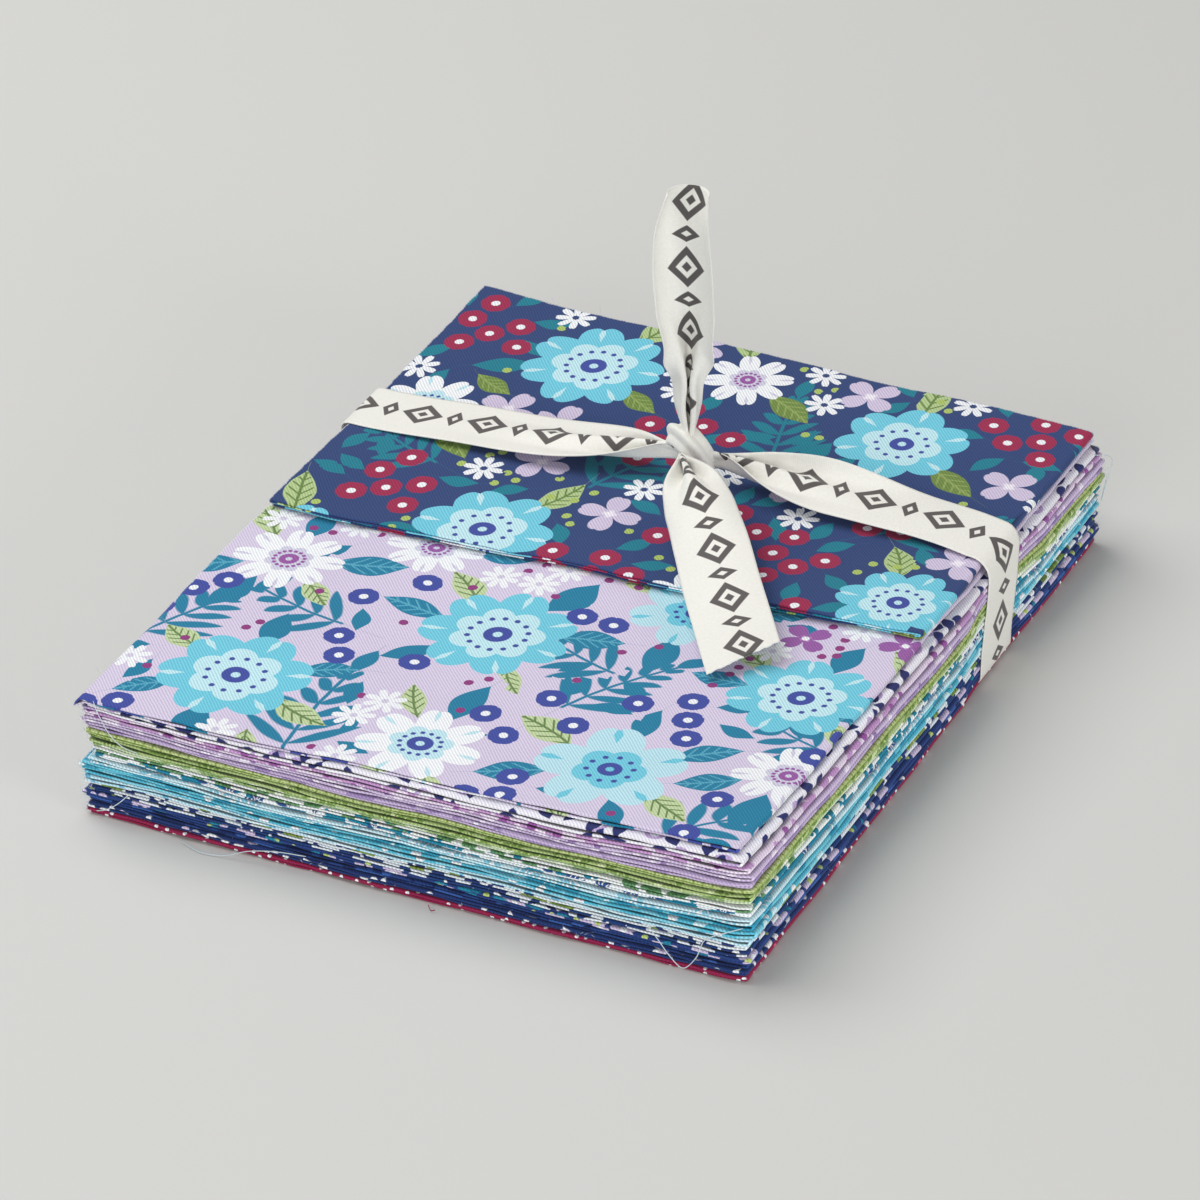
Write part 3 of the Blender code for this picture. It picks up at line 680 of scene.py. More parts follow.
# Prints of the two quarters that show their faces: florals of four layers, from the lowest up.
# Blooms are x, y, radius, turn, petals and kind; sprays are foot x, y, length, turn and pairs; bunches are x,
# y, berries and turn. All are on the cut, from its left and back edges.
layers = ("spray", "leaf", "bloom", "filler")
bloomKinds = dict(
    # inks of petals, ring and heart, then cleft, ring and heart sizes
    aqua=(((112, 200, 222), (190, 228, 237), indigo), 0.26, 0.60, 0.18),
    pale=(((184, 224, 236), (112, 200, 222), indigo), 0.40, 0.48, 0.16),
    white=(((238, 241, 245), (206, 204, 224), plum), 0.50, 0.42, 0.17),
    cool=(((238, 241, 245), (190, 226, 236), indigo), 0.44, 0.50, 0.20),
)
florals = dict(
    lilac=dict(
        seed=5, ground=(211, 201, 225), teal=(28, 124, 160), region=(4, 226, 132, 290), leafy=6,
        blooms=(
            (40, 254, 25, 10, 6, "aqua"), (104, 198, 26, 40, 7, "aqua"), (172, 258, 25, 0, 5, "pale"),
            (208, 194, 24, 24, 7, "aqua"), (22, 184, 19, 12, 8, "white"), (112, 268, 21, 30, 7, "cool"),
            (224, 240, 18, 5, 8, "white"), (156, 160, 22, 0, 6, "pale"), (62, 158, 17, 15, 8, "white"),
        ),
        sprays=((74, 288, 50, 262, 6), (142, 232, 44, 295, 6), (0, 246, 46, 290, 6), (202, 290, 42, 310, 5),
                (150, 206, 44, 196, 6), (228, 222, 36, 200, 5), (58, 214, 40, 190, 5)),
        bunches=((72, 228, 6, 20), (140, 242, 7, 70), (178, 222, 5, 0), (60, 184, 5, 60), (206, 272, 5, 20),
                 (8, 218, 5, 90), (10, 282, 4, 0), (144, 284, 5, 10), (132, 176, 4, 30)),
        leaves=(((190, 208, 160), (104, 132, 78)), ((28, 124, 160), (28, 124, 160)),
                ((28, 124, 160), (84, 164, 190))),
        berry=(indigo, white, white), cross=((150, 92, 162), (178, 124, 188), white),
        daisy=(white, (214, 208, 226), (206, 200, 222)),
        dot=(142, 58, 124), counts=dict(crosses=7, daisies=20, leaves=26, pairs=16, dots=50), crossSize=9.0,
    ),
    navy=dict(
        seed=11, ground=(46, 68, 118), teal=(24, 124, 144), region=(4, 226, 2, 150), leafy=3,
        blooms=(
            (58, 30, 25, 20, 7, "aqua"), (174, 34, 23, 0, 6, "aqua"), (72, 134, 24, 30, 6, "aqua"),
            (214, 128, 21, 0, 7, "aqua"), (110, 18, 16, 0, 8, "white"), (18, 72, 18, 15, 7, "cool"),
            (152, 148, 17, 10, 7, "cool"), (16, 160, 20, 0, 6, "aqua"),
        ),
        sprays=((92, 100, 44, 290, 6), (140, 62, 42, 250, 6), (40, 104, 40, 200, 6), (190, 90, 44, 320, 6)),
        bunches=((106, 60, 8, 10), (30, 118, 6, 80), (194, 84, 6, 20), (14, 22, 6, 60), (212, 14, 6, 0),
                 (112, 146, 7, 20), (172, 116, 5, 60), (138, 104, 7, 30), (184, 152, 4, 0)),
        leaves=(((112, 138, 68), (142, 164, 92)), ((24, 124, 144), (24, 124, 144)),
                ((176, 198, 140), (104, 132, 70))),
        berry=((156, 38, 78), white, white), cross=((206, 194, 220), (226, 220, 234), (238, 232, 243)),
        daisy=(white, (46, 68, 118), (46, 68, 118)), dot=(170, 192, 104),
        counts=dict(crosses=9, daisies=16, leaves=18, pairs=14, dots=40), crossSize=11.0,
    ),
)
sizes = dict(berry=5.2, berryStep=7.1, daisy=7.2, dot=1.6, bloomLeaf=(19.0, 26.0), bunchLeaf=14.0, pair=13.0,
             repeat=(229.0, 290.0))


def floralMaterial(name, ground):
    # Each layer reads where a point lies on its motif, the motif's own form and its inks from the faces.
    material = newMaterial(name)
    tree = material.node_tree
    x, y = sheetUv(tree)
    colour = blend(tree, 0.0, ground, ground)
    for layer in layers:
        px, py, heart = parts(attribute(tree, layer + "Place"))
        first, second, third = parts(attribute(tree, layer + "Form"))
        inked = attribute(tree, layer + "Ink", "Color")
        if layer == "spray":
            mark = sprayShares(px, py, first, second, third, 0.008)
        elif layer == "leaf":
            mark, veins = leafShares(px, py, first, second, third, 0.012)
            inked = blend(tree, veins, inked, attribute(tree, layer + "Vein", "Color"))
        else:
            rich = layer == "bloom"
            soft = 0.012 if rich else 0.04
            mark, ring, middle = flowerShares(px, py, first, second, third, heart, soft, rich)
            inked = blend(tree, ring, inked, attribute(tree, layer + "Ring", "Color"))
            inked = blend(tree, middle, inked, attribute(tree, layer + "Heart", "Color"))
        colour = blend(tree, mark, colour, inked)
    clothShader(cutEdgeColour(tree, colour, x, y), x, y, weaves["cotton"])
    return material


def beyond(one, spots):
    # Distance in millimetres outside a motif: from a disc's rim, or from a strip about its line
    off = spots - (one["x"], one["y"])
    axis = one["axis"]
    lx, ly = off @ axis, off @ np.array([-axis[1], axis[0]])
    if one["layer"] not in ("spray", "leaf"):
        return np.hypot(lx, ly) - one["size"]
    half = one["size"] * (one["form"][0] if one["layer"] == "leaf" else one["form"][1])
    return np.hypot(lx - np.clip(lx, 0.0, one["size"] * 1.05), ly) - half


def paintMotifs(piece, corners, uv, motifs):
    # Gives every face, in each layer, the motif whose edge it lies deepest inside, or next to.
    mesh = piece.data
    spots = uv.reshape(-1, 2)
    middles = spots[corners].mean(axis=1)
    for layer in layers:
        place = np.full((corners.size, 3), 9.0)
        form = np.ones((len(corners), 3))
        inks = {ink: np.ones((len(corners), 4)) for ink in ("Ink", "Vein", "Ring", "Heart")}
        best = np.full(len(corners), 1.8)
        for one in motifs:
            if one["layer"] != layer:
                continue
            away = beyond(one, middles)
            taken = np.flatnonzero(away < best)
            best[taken] = away[taken]
            loops = (taken[:, None] * 4 + np.arange(4)).ravel()
            spot = (spots[corners[taken]].reshape(-1, 2) - (one["x"], one["y"])) / one["size"]
            axis = one["axis"]
            place[loops, 0] = spot @ axis
            place[loops, 1] = spot @ np.array([-axis[1], axis[0]])
            place[loops, 2] = one["heart"]
            form[taken] = one["form"]
            for ink, colour in zip(one["names"], one["inks"]):
                inks[ink][taken, :3] = linear(colour)
        names = dict(spray=("Ink",), leaf=("Ink", "Vein")).get(layer, ("Ink", "Ring", "Heart"))
        fields = [(layer + "Place", "FLOAT_VECTOR", "CORNER", "vector", place)]
        fields.append((layer + "Form", "FLOAT_VECTOR", "FACE", "vector", form))
        fields += [(layer + ink, "FLOAT_COLOR", "FACE", "color", inks[ink]) for ink in names]
        for field, type_, domain, key, values in fields:
            mesh.attributes.new(field, type_, domain).data.foreach_set(key, values.astype(np.float32).ravel())


def motif(layer, x, y, size, turn, form, inks, heart=0.0):
    names = dict(spray=("Ink",), leaf=("Ink", "Vein")).get(layer, ("Ink", "Ring", "Heart"))
    axis = np.array([np.cos(np.radians(turn)), np.sin(np.radians(turn))])
    return dict(layer=layer, x=x, y=y, size=size, axis=axis, form=form, inks=inks, names=names, heart=heart)


def strewn(random, count, clear, taken, region, tries=400):
    # Throws points into the region and keeps those that stay clear of what is already there.
    kept = []
    for _ in range(count * tries):
        if len(kept) == count:
            break
        x, y = random.uniform(region[0], region[1]), random.uniform(region[2], region[3])
        if all((x - px) ** 2 + (y - py) ** 2 > (clear + pr) ** 2 for px, py, pr in taken):
            taken.append((x, y, clear))
            kept.append((x, y))
    return kept


def around(x, y, far, turn):
    return x + far * np.cos(np.radians(turn)), y + far * np.sin(np.radians(turn))


def addLeaf(motifs, lying, foot, long, turn, width, bend, veins, inks):
    # A leaf is left out where it would overlap another; lying holds five discs along each one.
    shares = (0.15, 0.35, 0.55, 0.75, 0.95)
    discs = [(*around(*foot, long * share, turn), long * width * 0.8) for share in shares]
    if any((x - px) ** 2 + (y - py) ** 2 < (r + pr) ** 2 for x, y, r in discs for px, py, pr in lying):
        return False
    motifs.append(motif("leaf", *foot, long, turn, (width, bend, veins), inks))
    lying += discs
    return True


def floralMotifs(plan):
    # Blooms, sprays and bunches stand where the table puts them. Leaves grow out from behind them, and
    # crosses, daisies, leaves and dots fill what is left.
    random = np.random.RandomState(plan["seed"])
    motifs, lying = [], []
    region = plan["region"]
    tealInks = (plan["teal"], plan["teal"])
    taken = [bloom[:3] for bloom in plan["blooms"]]
    for x, y, size, turn, petals, kind in plan["blooms"]:
        inks, cleft, ring, heart = bloomKinds[kind]
        motifs.append(motif("bloom", x, y, size, turn, (petals, cleft, ring), inks, heart))
        for k in range(plan["leafy"]):
            angle = turn + 20 + 360 / plan["leafy"] * k + random.uniform(-16, 16)
            long = random.uniform(*sizes["bloomLeaf"])
            end = around(x, y, size * 0.74 + long * 0.8, angle)
            if all((end[0] - px) ** 2 + (end[1] - py) ** 2 > pr**2 for px, py, pr in taken):
                form = (random.uniform(0.20, 0.26), random.uniform(-0.3, 0.3), 6.0)
                foot = around(x, y, size * 0.74, angle)
                if addLeaf(motifs, lying, foot, long, angle, *form, plan["leaves"][k % 3]):
                    taken.append((*end, long * 0.2))
    for x, y, count, turn in plan["bunches"]:
        # Berries lie along the golden angle, a step times the root of their number from the middle.
        for k in range(count):
            spot = around(x, y, sizes["berryStep"] * np.sqrt(k + 0.3), turn + 137.5 * k)
            if all(np.hypot(spot[0] - px, spot[1] - py) > pr * 0.86 + 4.0 for px, py, pr in taken):
                form = (4, 0.06, 0.3)
                motifs.append(motif("filler", *spot, sizes["berry"], turn, form, plan["berry"], 0.26))
        rim = sizes["berryStep"] * np.sqrt(count)
        for k in range(7):
            angle = turn + 360 / 7 * k + random.uniform(-12, 12)
            foot = around(x, y, rim - 2.0, angle)
            addLeaf(motifs, lying, foot, sizes["bunchLeaf"], angle + 20, 0.22, 0.2, 5.0, tealInks)
    for x, y, count, turn in plan["bunches"]:
        taken.append((x, y, sizes["berryStep"] * np.sqrt(count) + 4.0))
    for x, y, long, turn, pairs in plan["sprays"]:
        motifs.append(motif("spray", x, y, long, turn, (pairs, 0.36, 0.12), (plan["teal"],)))
        taken += [(*around(x, y, long * share, turn), long * 0.16) for share in (0.2, 0.4, 0.6, 0.8, 1.0)]
    counts = plan["counts"]
    for key, size, form, inks, heart in (
        ("crosses", plan["crossSize"], (4, 0.78, 0.24), plan["cross"], 0.14),
        ("daisies", sizes["daisy"], (8, 0.72, 0.2), plan["daisy"], 0.16),
    ):
        for x, y in strewn(random, counts[key], size - 1.5, taken, region):
            motifs.append(motif("filler", x, y, size, random.uniform(0, 90), form, inks, heart))
    for k, (x, y) in enumerate(strewn(random, counts["leaves"], 6.0, taken, region)):
        turn = random.uniform(0, 360)
        foot = around(x, y, -9.0, turn)
        addLeaf(motifs, lying, foot, 18.0, turn, 0.24, random.uniform(-0.2, 0.2), 6.0, plan["leaves"][k % 2])
    for x, y in strewn(random, counts["pairs"], 4.6, taken, region):
        turn = random.uniform(0, 360)
        for side in (-48, 48):
            foot = around(x, y, 2.2, turn + side)
            bend = 0.15 * np.sign(side)
            addLeaf(motifs, lying, foot, sizes["pair"], turn + side, 0.23, bend, 5.0, tealInks)
    for x, y in strewn(random, counts["dots"], 2.2, taken, region):
        motifs.append(motif("filler", x, y, sizes["dot"], 0.0, (1, 0.0, 0.1), (plan["dot"],) * 3, 0.05))
    return motifs


def repeated(motifs, across, down):
    # The motifs again one repeat to the right and below, for the leaves that only show at the folds.
    shifts = [(dx, dy) for dx in (0, across) for dy in (0, down)]
    return [dict(one, x=one["x"] + dx, y=one["y"] + dy) for dx, dy in shifts for one in motifs]


fineness = dict(
    hidden=dict(down=34, downHidden=28, across=46, acrossHidden=42),
    lilac=dict(down=176, downHidden=34, across=138, acrossHidden=34),
    navy=dict(down=98, downHidden=28, across=138, acrossHidden=34),
)


def buildQuarters():
    pieces, edges = [], []
    for number, quarter in enumerate(quarters + [topQuarter], start=1):
        name = quarter["name"]
        floral = dict(lilac_floral="lilac", navy_floral="navy").get(name)
        leaves = topFold["leaves"] if floral == "navy" else 2
        fine = fineness[floral or "hidden"]
        points, uv, paintedShade = foldedSheet(quarter, number, leaves, levels[number - 1], fine)
        material = floralMaterial(name, florals[floral]["ground"]) if floral else smallPrint(name)
        piece, corners = gridMesh("cloth_%02d_%s" % (number, name), points, uv, [material], paintedShade)
        if floral:
            motifs = floralMotifs(florals[floral])
            paintMotifs(piece, corners, uv, repeated(motifs, *sizes["repeat"]))
        thicken(piece, pile["sheet"])
        node = "quarter_%02d_%s" % (number, name)
        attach(piece, "root")
        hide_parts(node)
        pieces.append(piece)
        left, back = np.stack([points[0], points[-1]]), np.stack([points[:, 0], points[:, -1]])
        edges.append(dict(left=left, back=back))
    print("quarters folded:", len(pieces))
    return pieces, edges


# The ribbon. A row of its sections is the middle, the way across (heading and roll), then how it bends
ribbon = dict(
    width=25.4, across=33, bandStep=1.6, tailStep=1.2, wrapStep=0.6,  # stations
    thick=0.36, clear=0.15, bandY=53.0, left=-117.1, right=114.4,
    cornerLeft=2.5, cornerRight=6.5, cornerLow=3.5,
    # how far the band swings back along its run from the knot, first over the right, last over the left
    swing=((0, 3.9), (30, 6.6), (60, 9.4), (92, 9.6), (107, 7.4), (119, 6.5), (130, 4.4), (138, 3.0),
           (144, 2.6), (151, 2.5), (165, 1.8), (200, 0.4), (240, 0.0), (300, 0.0)),
    swingLeft=((0, 3.9), (20, 2.6), (50, 0.8), (80, 0.0), (150, 0.0)),
    # printed row: its pitch, half the length and half the width of each lozenge, and how far off the middle
    pitch=24.0, large=(7.6, 6.6), small=(3.0, 5.0), off=1.2,
    ink=(88, 84, 83), ground=(238, 237, 230),
)
# Sections of the two free ends: x, y, z, heading, roll, pleat, cup and curl
tailUp = (
    (3.4, 56.6, 61.0, 25, 0, 100, 0, 0),
    (2.6, 57.4, 70.0, 25, 0, 88, 10, 0),
    (2.4, 57.8, 80.0, 25, 0, 86, 40, 0),
    (2.4, 57.8, 92.0, 25, 0, 44, 96, 0),
    (1.2, 57.4, 108.0, 24, 0, 6, 77, 0),
    (0.2, 57.4, 124.0, 22, 0, 0, 73, 0),
    (0.0, 58.0, 138.0, 20, 0, 0, 86, 0),
    (1.6, 59.3, 150.0, 18, 0, 0, 108, 0),
)
tailFront = (
    (4.6, 50.4, 53.0, 31, 6, 112, 0, 0),
    (6.4, 44.6, 57.4, 32, 9, 112, 10, 0),
    (11.0, 37.4, 60.0, 33, 13, 96, 20, 0),
    (16.8, 29.2, 60.2, 33.5, 14, 44, 60, 0),
    (24.0, 19.8, 58.0, 34, 15, 4, 44, 0),
    (33.6, 7.2, 54.6, 34, 14, 0, 26, 0),
    (44.8, -9.0, 51.4, 34, 12, 0, 16, 0),
    (56.4, -25.4, 49.0, 34, 9, 0, 8, 0),
    (70.4, -45.6, 46.9, 34, 6, 0, 4, 0),
)
# Lengths cut off at the ends' left and right edges
tailCut = dict(up=(0.0, 0.0), front=(0.0, 10.0), ragged=0.35)
leads = dict(
    # from the knot outwards: distance, height over the cloth, pleat, cup and curl of the far margin
    right=((0, 8.5, 114, 0, 0), (7, 8.2, 110, 0, 0), (13, 7.8, 92, 6, -20), (20, 7.2, 66, 14, -60),
           (29, 6.5, 40, 20, -100), (41, 5.5, 16, 20, -90), (56, 4.2, 4, 10, -40), (74, 2.6, 0, 4, 0),
           (94, 0.8, 0, 0, 0), (105, 0.15, 0, 0, 0)),
    left=((0, 8.5, 114, 0, 0), (6, 8.2, 104, 0, 0), (12, 7.6, 84, 8, 0), (22, 6.6, 54, 14, 0),
          (36, 5.2, 28, 14, 0), (54, 3.6, 10, 8, 0), (74, 1.9, 3, 2, 0), (94, 0.6, 0, 0, 0),
          (108, 0.15, 0, 0, 0)),
)
knot = dict(
    # offsets run right, up and towards the camera, and so does the slope of the strand's section
    middle=(3.9, 56.9, 56.2), radii=(4.6, 4.8, 4.4), start=4.0, folds=4, across=61, pleat=34.0, cup=160.0,
    wrap=((-4.4, 3.4, -4.0), (-3.8, 3.8, -0.5), (-1.8, 2.4, 2.2), (0.6, -0.2, 3.0), (2.8, -3.2, 2.4),
          (4.4, -6.2, 0.2), (4.8, -7.8, -3.5)),
    slope=(0.7, 0.7),
)


def runLength(points):
    # Running length of the line from point to point
    return np.concatenate([[0], np.cumsum(np.linalg.norm(np.diff(points, axis=0), axis=1))])


def evenly(rows, step):
    # The rows at even steps along their middles, on a smooth curve through them.
    rows = np.array(rows, float)
    reach = runLength(rows[:, :3])
    return through(reach, rows, np.linspace(0, reach[-1], int(reach[-1] / step) + 2))


def ribbonSheet(name, rows, materials, folds=2, trim=(0.0, 0.0), count=ribbon["across"]):
    # Sections carried along their middles. Across the ribbon its slope is pleat times a zigzag, plus cup
    # times a straight line, plus curl that grows over the far half, so its length across stays its width.
    spot = np.linspace(0, 1, count)
    zigzag = np.tanh(2.4 * np.sin(2 * np.pi * folds * spot)) / np.tanh(2.4)
    line = 2 * spot - 1
    tilt = rows[:, 5:6] * zigzag + rows[:, 6:7] * line + rows[:, 7:8] * np.clip(line, 0, 1) ** 1.5
    tilt = np.radians(tilt[:, 1:] + tilt[:, :-1]) / 2
    step = ribbon["width"] / (count - 1)
    zero = np.zeros((len(rows), 1))
    sideways = np.concatenate([zero, np.cumsum(step * np.cos(tilt), axis=1)], axis=1)
    upward = np.concatenate([zero, np.cumsum(step * np.sin(tilt), axis=1)], axis=1)
    sideways -= sideways.mean(axis=1, keepdims=True)
    upward -= upward.mean(axis=1, keepdims=True)
    heading, roll = np.radians(rows[:, 3]), np.radians(rows[:, 4])
    across = np.stack([np.cos(heading) * np.cos(roll), np.sin(heading) * np.cos(roll), np.sin(roll)], -1)
    middles = rows[:, :3]
    ahead = np.gradient(middles, axis=0)
    ahead -= across * (ahead * across).sum(axis=1, keepdims=True)
    ahead /= np.linalg.norm(ahead, axis=1, keepdims=True)
    out = np.cross(across, ahead)
    points = middles[:, None] + across[:, None] * sideways[..., None] + out[:, None] * upward[..., None]
    length = runLength(middles)
    uv = np.stack(np.broadcast_arrays(spot[None, :] * ribbon["width"], length[:, None]), -1)
    if any(trim):
        # Each line along the ribbon is shortened by its own share
        ragged = np.random.RandomState(3).uniform(0, 2 * tailCut["ragged"], count)
        at = np.arange(len(rows))[:, None] * (1 - (np.linspace(*trim, count) + ragged) / length[-1])
        low = np.minimum(at.astype(int), len(rows) - 2)
        share, column = (at - low)[..., None], np.arange(count)[None, :]
        grid = np.concatenate([points, uv], -1)
        grid = grid[low, column] * (1 - share) + grid[low + 1, column] * share
        points, uv = grid[..., :3], grid[..., 3:]
    piece, _ = gridMesh(name, points, uv, materials)
    thicken(piece, ribbon["thick"], 1)
    return piece, length[-1]


def ribbonMaterial(name, printed):
    # Cream weave. Its face has a running row of hollow lozenges with small ones between. The distance in a
    # lozenge is the way along over half its length plus the way across over half its width.
    material = newMaterial(name)
    tree = material.node_tree
    x, y = sheetUv(tree)
    colour = blend(tree, 0.0, ribbon["ground"], ribbon["ground"])
    if printed:
        pitch, (long, wide), (shortLong, shortWide) = ribbon["pitch"], ribbon["large"], ribbon["small"]
        middle = abs(x - ribbon["width"] / 2 - ribbon["off"])
        large = abs((y / pitch).maths("FRACT") - 0.5) * pitch
        small = abs((y / pitch + 0.5).maths("FRACT") - 0.5) * pitch
        far, near = large / long + middle / wide, small / shortLong + middle / shortWide
        outline = within(far, 1.0, 0.06) - within(far, 0.56, 0.06) + within(far, 0.26, 0.06)
        beside = within(near, 1.0, 0.10) - within(near, 0.36, 0.10)
        colour = blend(tree, outline.maths("MAXIMUM", beside), colour, ribbon["ink"])
    clothShader(colour, x, y, weaves["ribbon"])
    return material


def overTop(side, table):
    # Rows from the knot out to the corner, each above the cloth by its lead.
    table = np.array(table, float)
    start = knot["middle"][0] + side * knot["start"]
    corner = ribbon["right"] - ribbon["cornerRight"] if side > 0 else ribbon["left"] + ribbon["cornerLeft"]
    away = np.linspace(0, abs(corner - start), 40)
    lift, pleat, cup, curl = through(table[:, 0], table[:, 1:], np.minimum(away, table[-1, 0])).T
    x = start + side * away
    swing = np.array(ribbon["swing" if side > 0 else "swingLeft"], float)
    y = ribbon["bandY"] + through(swing[:, 0], swing[:, 1], away)
    z = height(x, y, topLevel) + ribbon["thick"] / 2 + ribbon["clear"] + lift
    return np.stack(np.broadcast_arrays(x, ribbon["bandY"], z, 90.0, 0.0, pleat, cup, curl), -1)


def flatRows(x, z):
    return np.stack(np.broadcast_arrays(x, ribbon["bandY"], z, 90.0, 0.0, 0.0, 0.0, 0.0), -1)


def cornerRows(centreX, centreZ, radius, start, end):
    turns = np.radians(np.linspace(start, end, 9))
    return flatRows(centreX + radius * np.cos(turns), centreZ + radius * np.sin(turns))


def bandRows():
    # From the knot over the top, down the right, below the pile, up the left and back to the knot.
    low = ribbon["thick"] / 2 + ribbon["clear"]
    left, right, corner = ribbon["left"], ribbon["right"], ribbon["cornerLow"]
    rightTop, leftTop = overTop(1, leads["right"]), overTop(-1, leads["left"])[::-1]
    highRight = rightTop[-1, 2] - ribbon["cornerRight"]
    highLeft = leftTop[0, 2] - ribbon["cornerLeft"]
    rows = np.concatenate([
        rightTop[:-1],
        cornerRows(right - ribbon["cornerRight"], highRight, ribbon["cornerRight"], 90, 0),
        flatRows(right, np.linspace(highRight, low + corner, 9)[1:-1]),
        cornerRows(right - corner, low + corner, corner, 0, -90),
        flatRows(np.linspace(right - corner, left + corner, 50)[1:-1], low),
        cornerRows(left + corner, low + corner, corner, 270, 180),
        flatRows(left, np.linspace(low + corner, highLeft, 10)[1:-1]),
        cornerRows(left + ribbon["cornerLeft"], highLeft, ribbon["cornerLeft"], 180, 90),
        leftTop[1:],
    ])
    # The band swings to its place, and its sections turn to stay square to its run
    reach = runLength(rows[:, :3])
    for table, run in (("swing", reach), ("swingLeft", reach[-1] - reach)):
        swing = np.array(ribbon[table], float)
        end = swing[-1, 0]
        rows[:, 1] += np.where(run < end, through(swing[:, 0], swing[:, 1], np.minimum(run, end)), 0.0)
    ahead = np.gradient(rows[:, :3], axis=0)
    ahead /= np.linalg.norm(ahead, axis=1, keepdims=True)
    across = np.array([0.0, 1.0, 0.0]) - ahead * ahead[:, 1:2]
    across /= np.linalg.norm(across, axis=1, keepdims=True)
    rows[:, 3] = np.degrees(np.arctan2(across[:, 1], across[:, 0]))
    rows[:, 4] = np.degrees(np.arcsin(across[:, 2]))
    return rows


def strand(name, offsets, materials):
    # A gathered length of the ribbon that runs over the knot, laid out as the camera sees it.
    axes = np.array(viewAxes())
    across = np.array([*knot["slope"], 0.0]) @ axes
    across /= np.linalg.norm(across)
    heading, roll = np.degrees(np.arctan2(across[1], across[0])), np.degrees(np.arcsin(across[2]))
    middles = np.array(knot["middle"]) + np.array(offsets, float) @ axes
    rows = [(*middle, heading, roll, knot["pleat"], knot["cup"], 0.0) for middle in middles]
    rows = evenly(rows, ribbon["wrapStep"])
    return ribbonSheet(name, rows, materials, knot["folds"], count=knot["across"])


def knotHeart(materials):
    # An ellipsoid with shallow furrows that wind round it, to fill the knot.
    fall = np.linspace(-np.pi / 2, np.pi / 2, 33)[:, None]
    turn = np.linspace(0, 2 * np.pi, 65)[None, :]
    ball = np.cos(fall) * np.cos(turn), np.cos(fall) * np.sin(turn), np.sin(fall)
    ball = np.stack(np.broadcast_arrays(*ball), -1)
    furrows = 1 + 0.05 * np.sin(7 * turn + 5 * fall) * np.cos(fall)
    points = np.array(knot["middle"]) + ball * furrows[..., None] * knot["radii"] @ np.array(viewAxes())
    uv = np.stack(np.broadcast_arrays(turn * 4.0, (fall + 2) * 8.0), -1)
    return gridMesh("ribbonKnotHeart", points, uv, materials)[0]


def buildRibbon(topPiece):
    face, reverse = ribbonMaterial("ribbonFace", True), ribbonMaterial("ribbonReverse", False)
    printedOut, printedIn = [face, reverse], [reverse, face]
    band, bandLength = ribbonSheet("ribbonBand", evenly(bandRows(), ribbon["bandStep"]), printedIn)
    upRows, frontRows = (evenly(rows, ribbon["tailStep"]) for rows in (tailUp, tailFront))
    up, upLength = ribbonSheet("ribbonTailUp", upRows, printedOut, trim=tailCut["up"])
    front, frontLength = ribbonSheet("ribbonTailFront", frontRows, printedIn, trim=tailCut["front"])
    wrap, wrapLength = strand("ribbonKnotWrap", knot["wrap"], [reverse, reverse])
    heart = knotHeart([reverse])
    for piece, node, length, held, rests in (
        (band, "ribbon_band", bandLength, "stretched", [topPiece.name]),
        (up, "ribbon_tail_up", upLength, "hung", []),
        (front, "ribbon_tail_front", frontLength, "draped", [topPiece.name]),
        (wrap, "ribbon_knot", wrapLength, "gathered", []),
        (heart, "ribbon_knot", None, None, []),
    ):
        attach(piece, "root")
        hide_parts(node)
    print("ribbon tied: band %.0f, ends %.0f and %.0f mm" % (bandLength, upLength, frontLength))


# Loose threads of the raw edges: the long ones that the photo shows, and short fibres along every edge
threads = dict(
    radius=0.16, fibre=0.05, fibres=13, short=0.8, long=3.2,
    pale=(
        ((-108, -145.5, 43.4), (-105.9, -147.6, 42.1), (-103.3, -148, 37.6), (-101, -147.6, 33.4),
         (-96.9, -147.6, 30.5), (-92.3, -146, 28.4)),
        ((-108.5, -146, 2.3), (-103.7, -147.8, 5.2), (-99.3, -147.8, 8.8), (-95.9, -146, 12.4)),
        ((-78.3, -147, 0.6), (-69.4, -150, 0.5), (-62.2, -149, 0.6), (-53.2, -147.6, 4), (-44.3, -147.2, 6.2),
         (-33.8, -146, 6.7)),
        ((82.5, -145.5, 16.1), (87.8, -147.4, 12.2), (91.9, -148, 7.9), (95.9, -148, 5), (99.9, -147.6, 9.2),
         (102.8, -147, 16.7), (109, -147, 21), (115, -146, 24.1)),
        ((116, 132.7, 40.6), (118.5, 145.5, 31), (118, 142.5, 25.6), (117.5, 139.5, 19.4),
         (117, 145.9, 27.6)),
    ),
    crimson=(((8.9, -146.6, 1.6), (10.3, -147.6, 0.5), (11.7, -147.4, 0.9)),),
    paleInk=(206, 220, 226),
    crimsonInk=(150, 40, 74),
)


def plainMaterial(name, colour):
    material = newMaterial(name)
    shader = material.node_tree.nodes["Principled BSDF"]
    shader.inputs["Base Color"].default_value = (*linear(colour), 1.0)
    shader.inputs["Roughness"].default_value = 0.8
    shader.inputs["Specular IOR Level"].default_value = 0.2
    return material


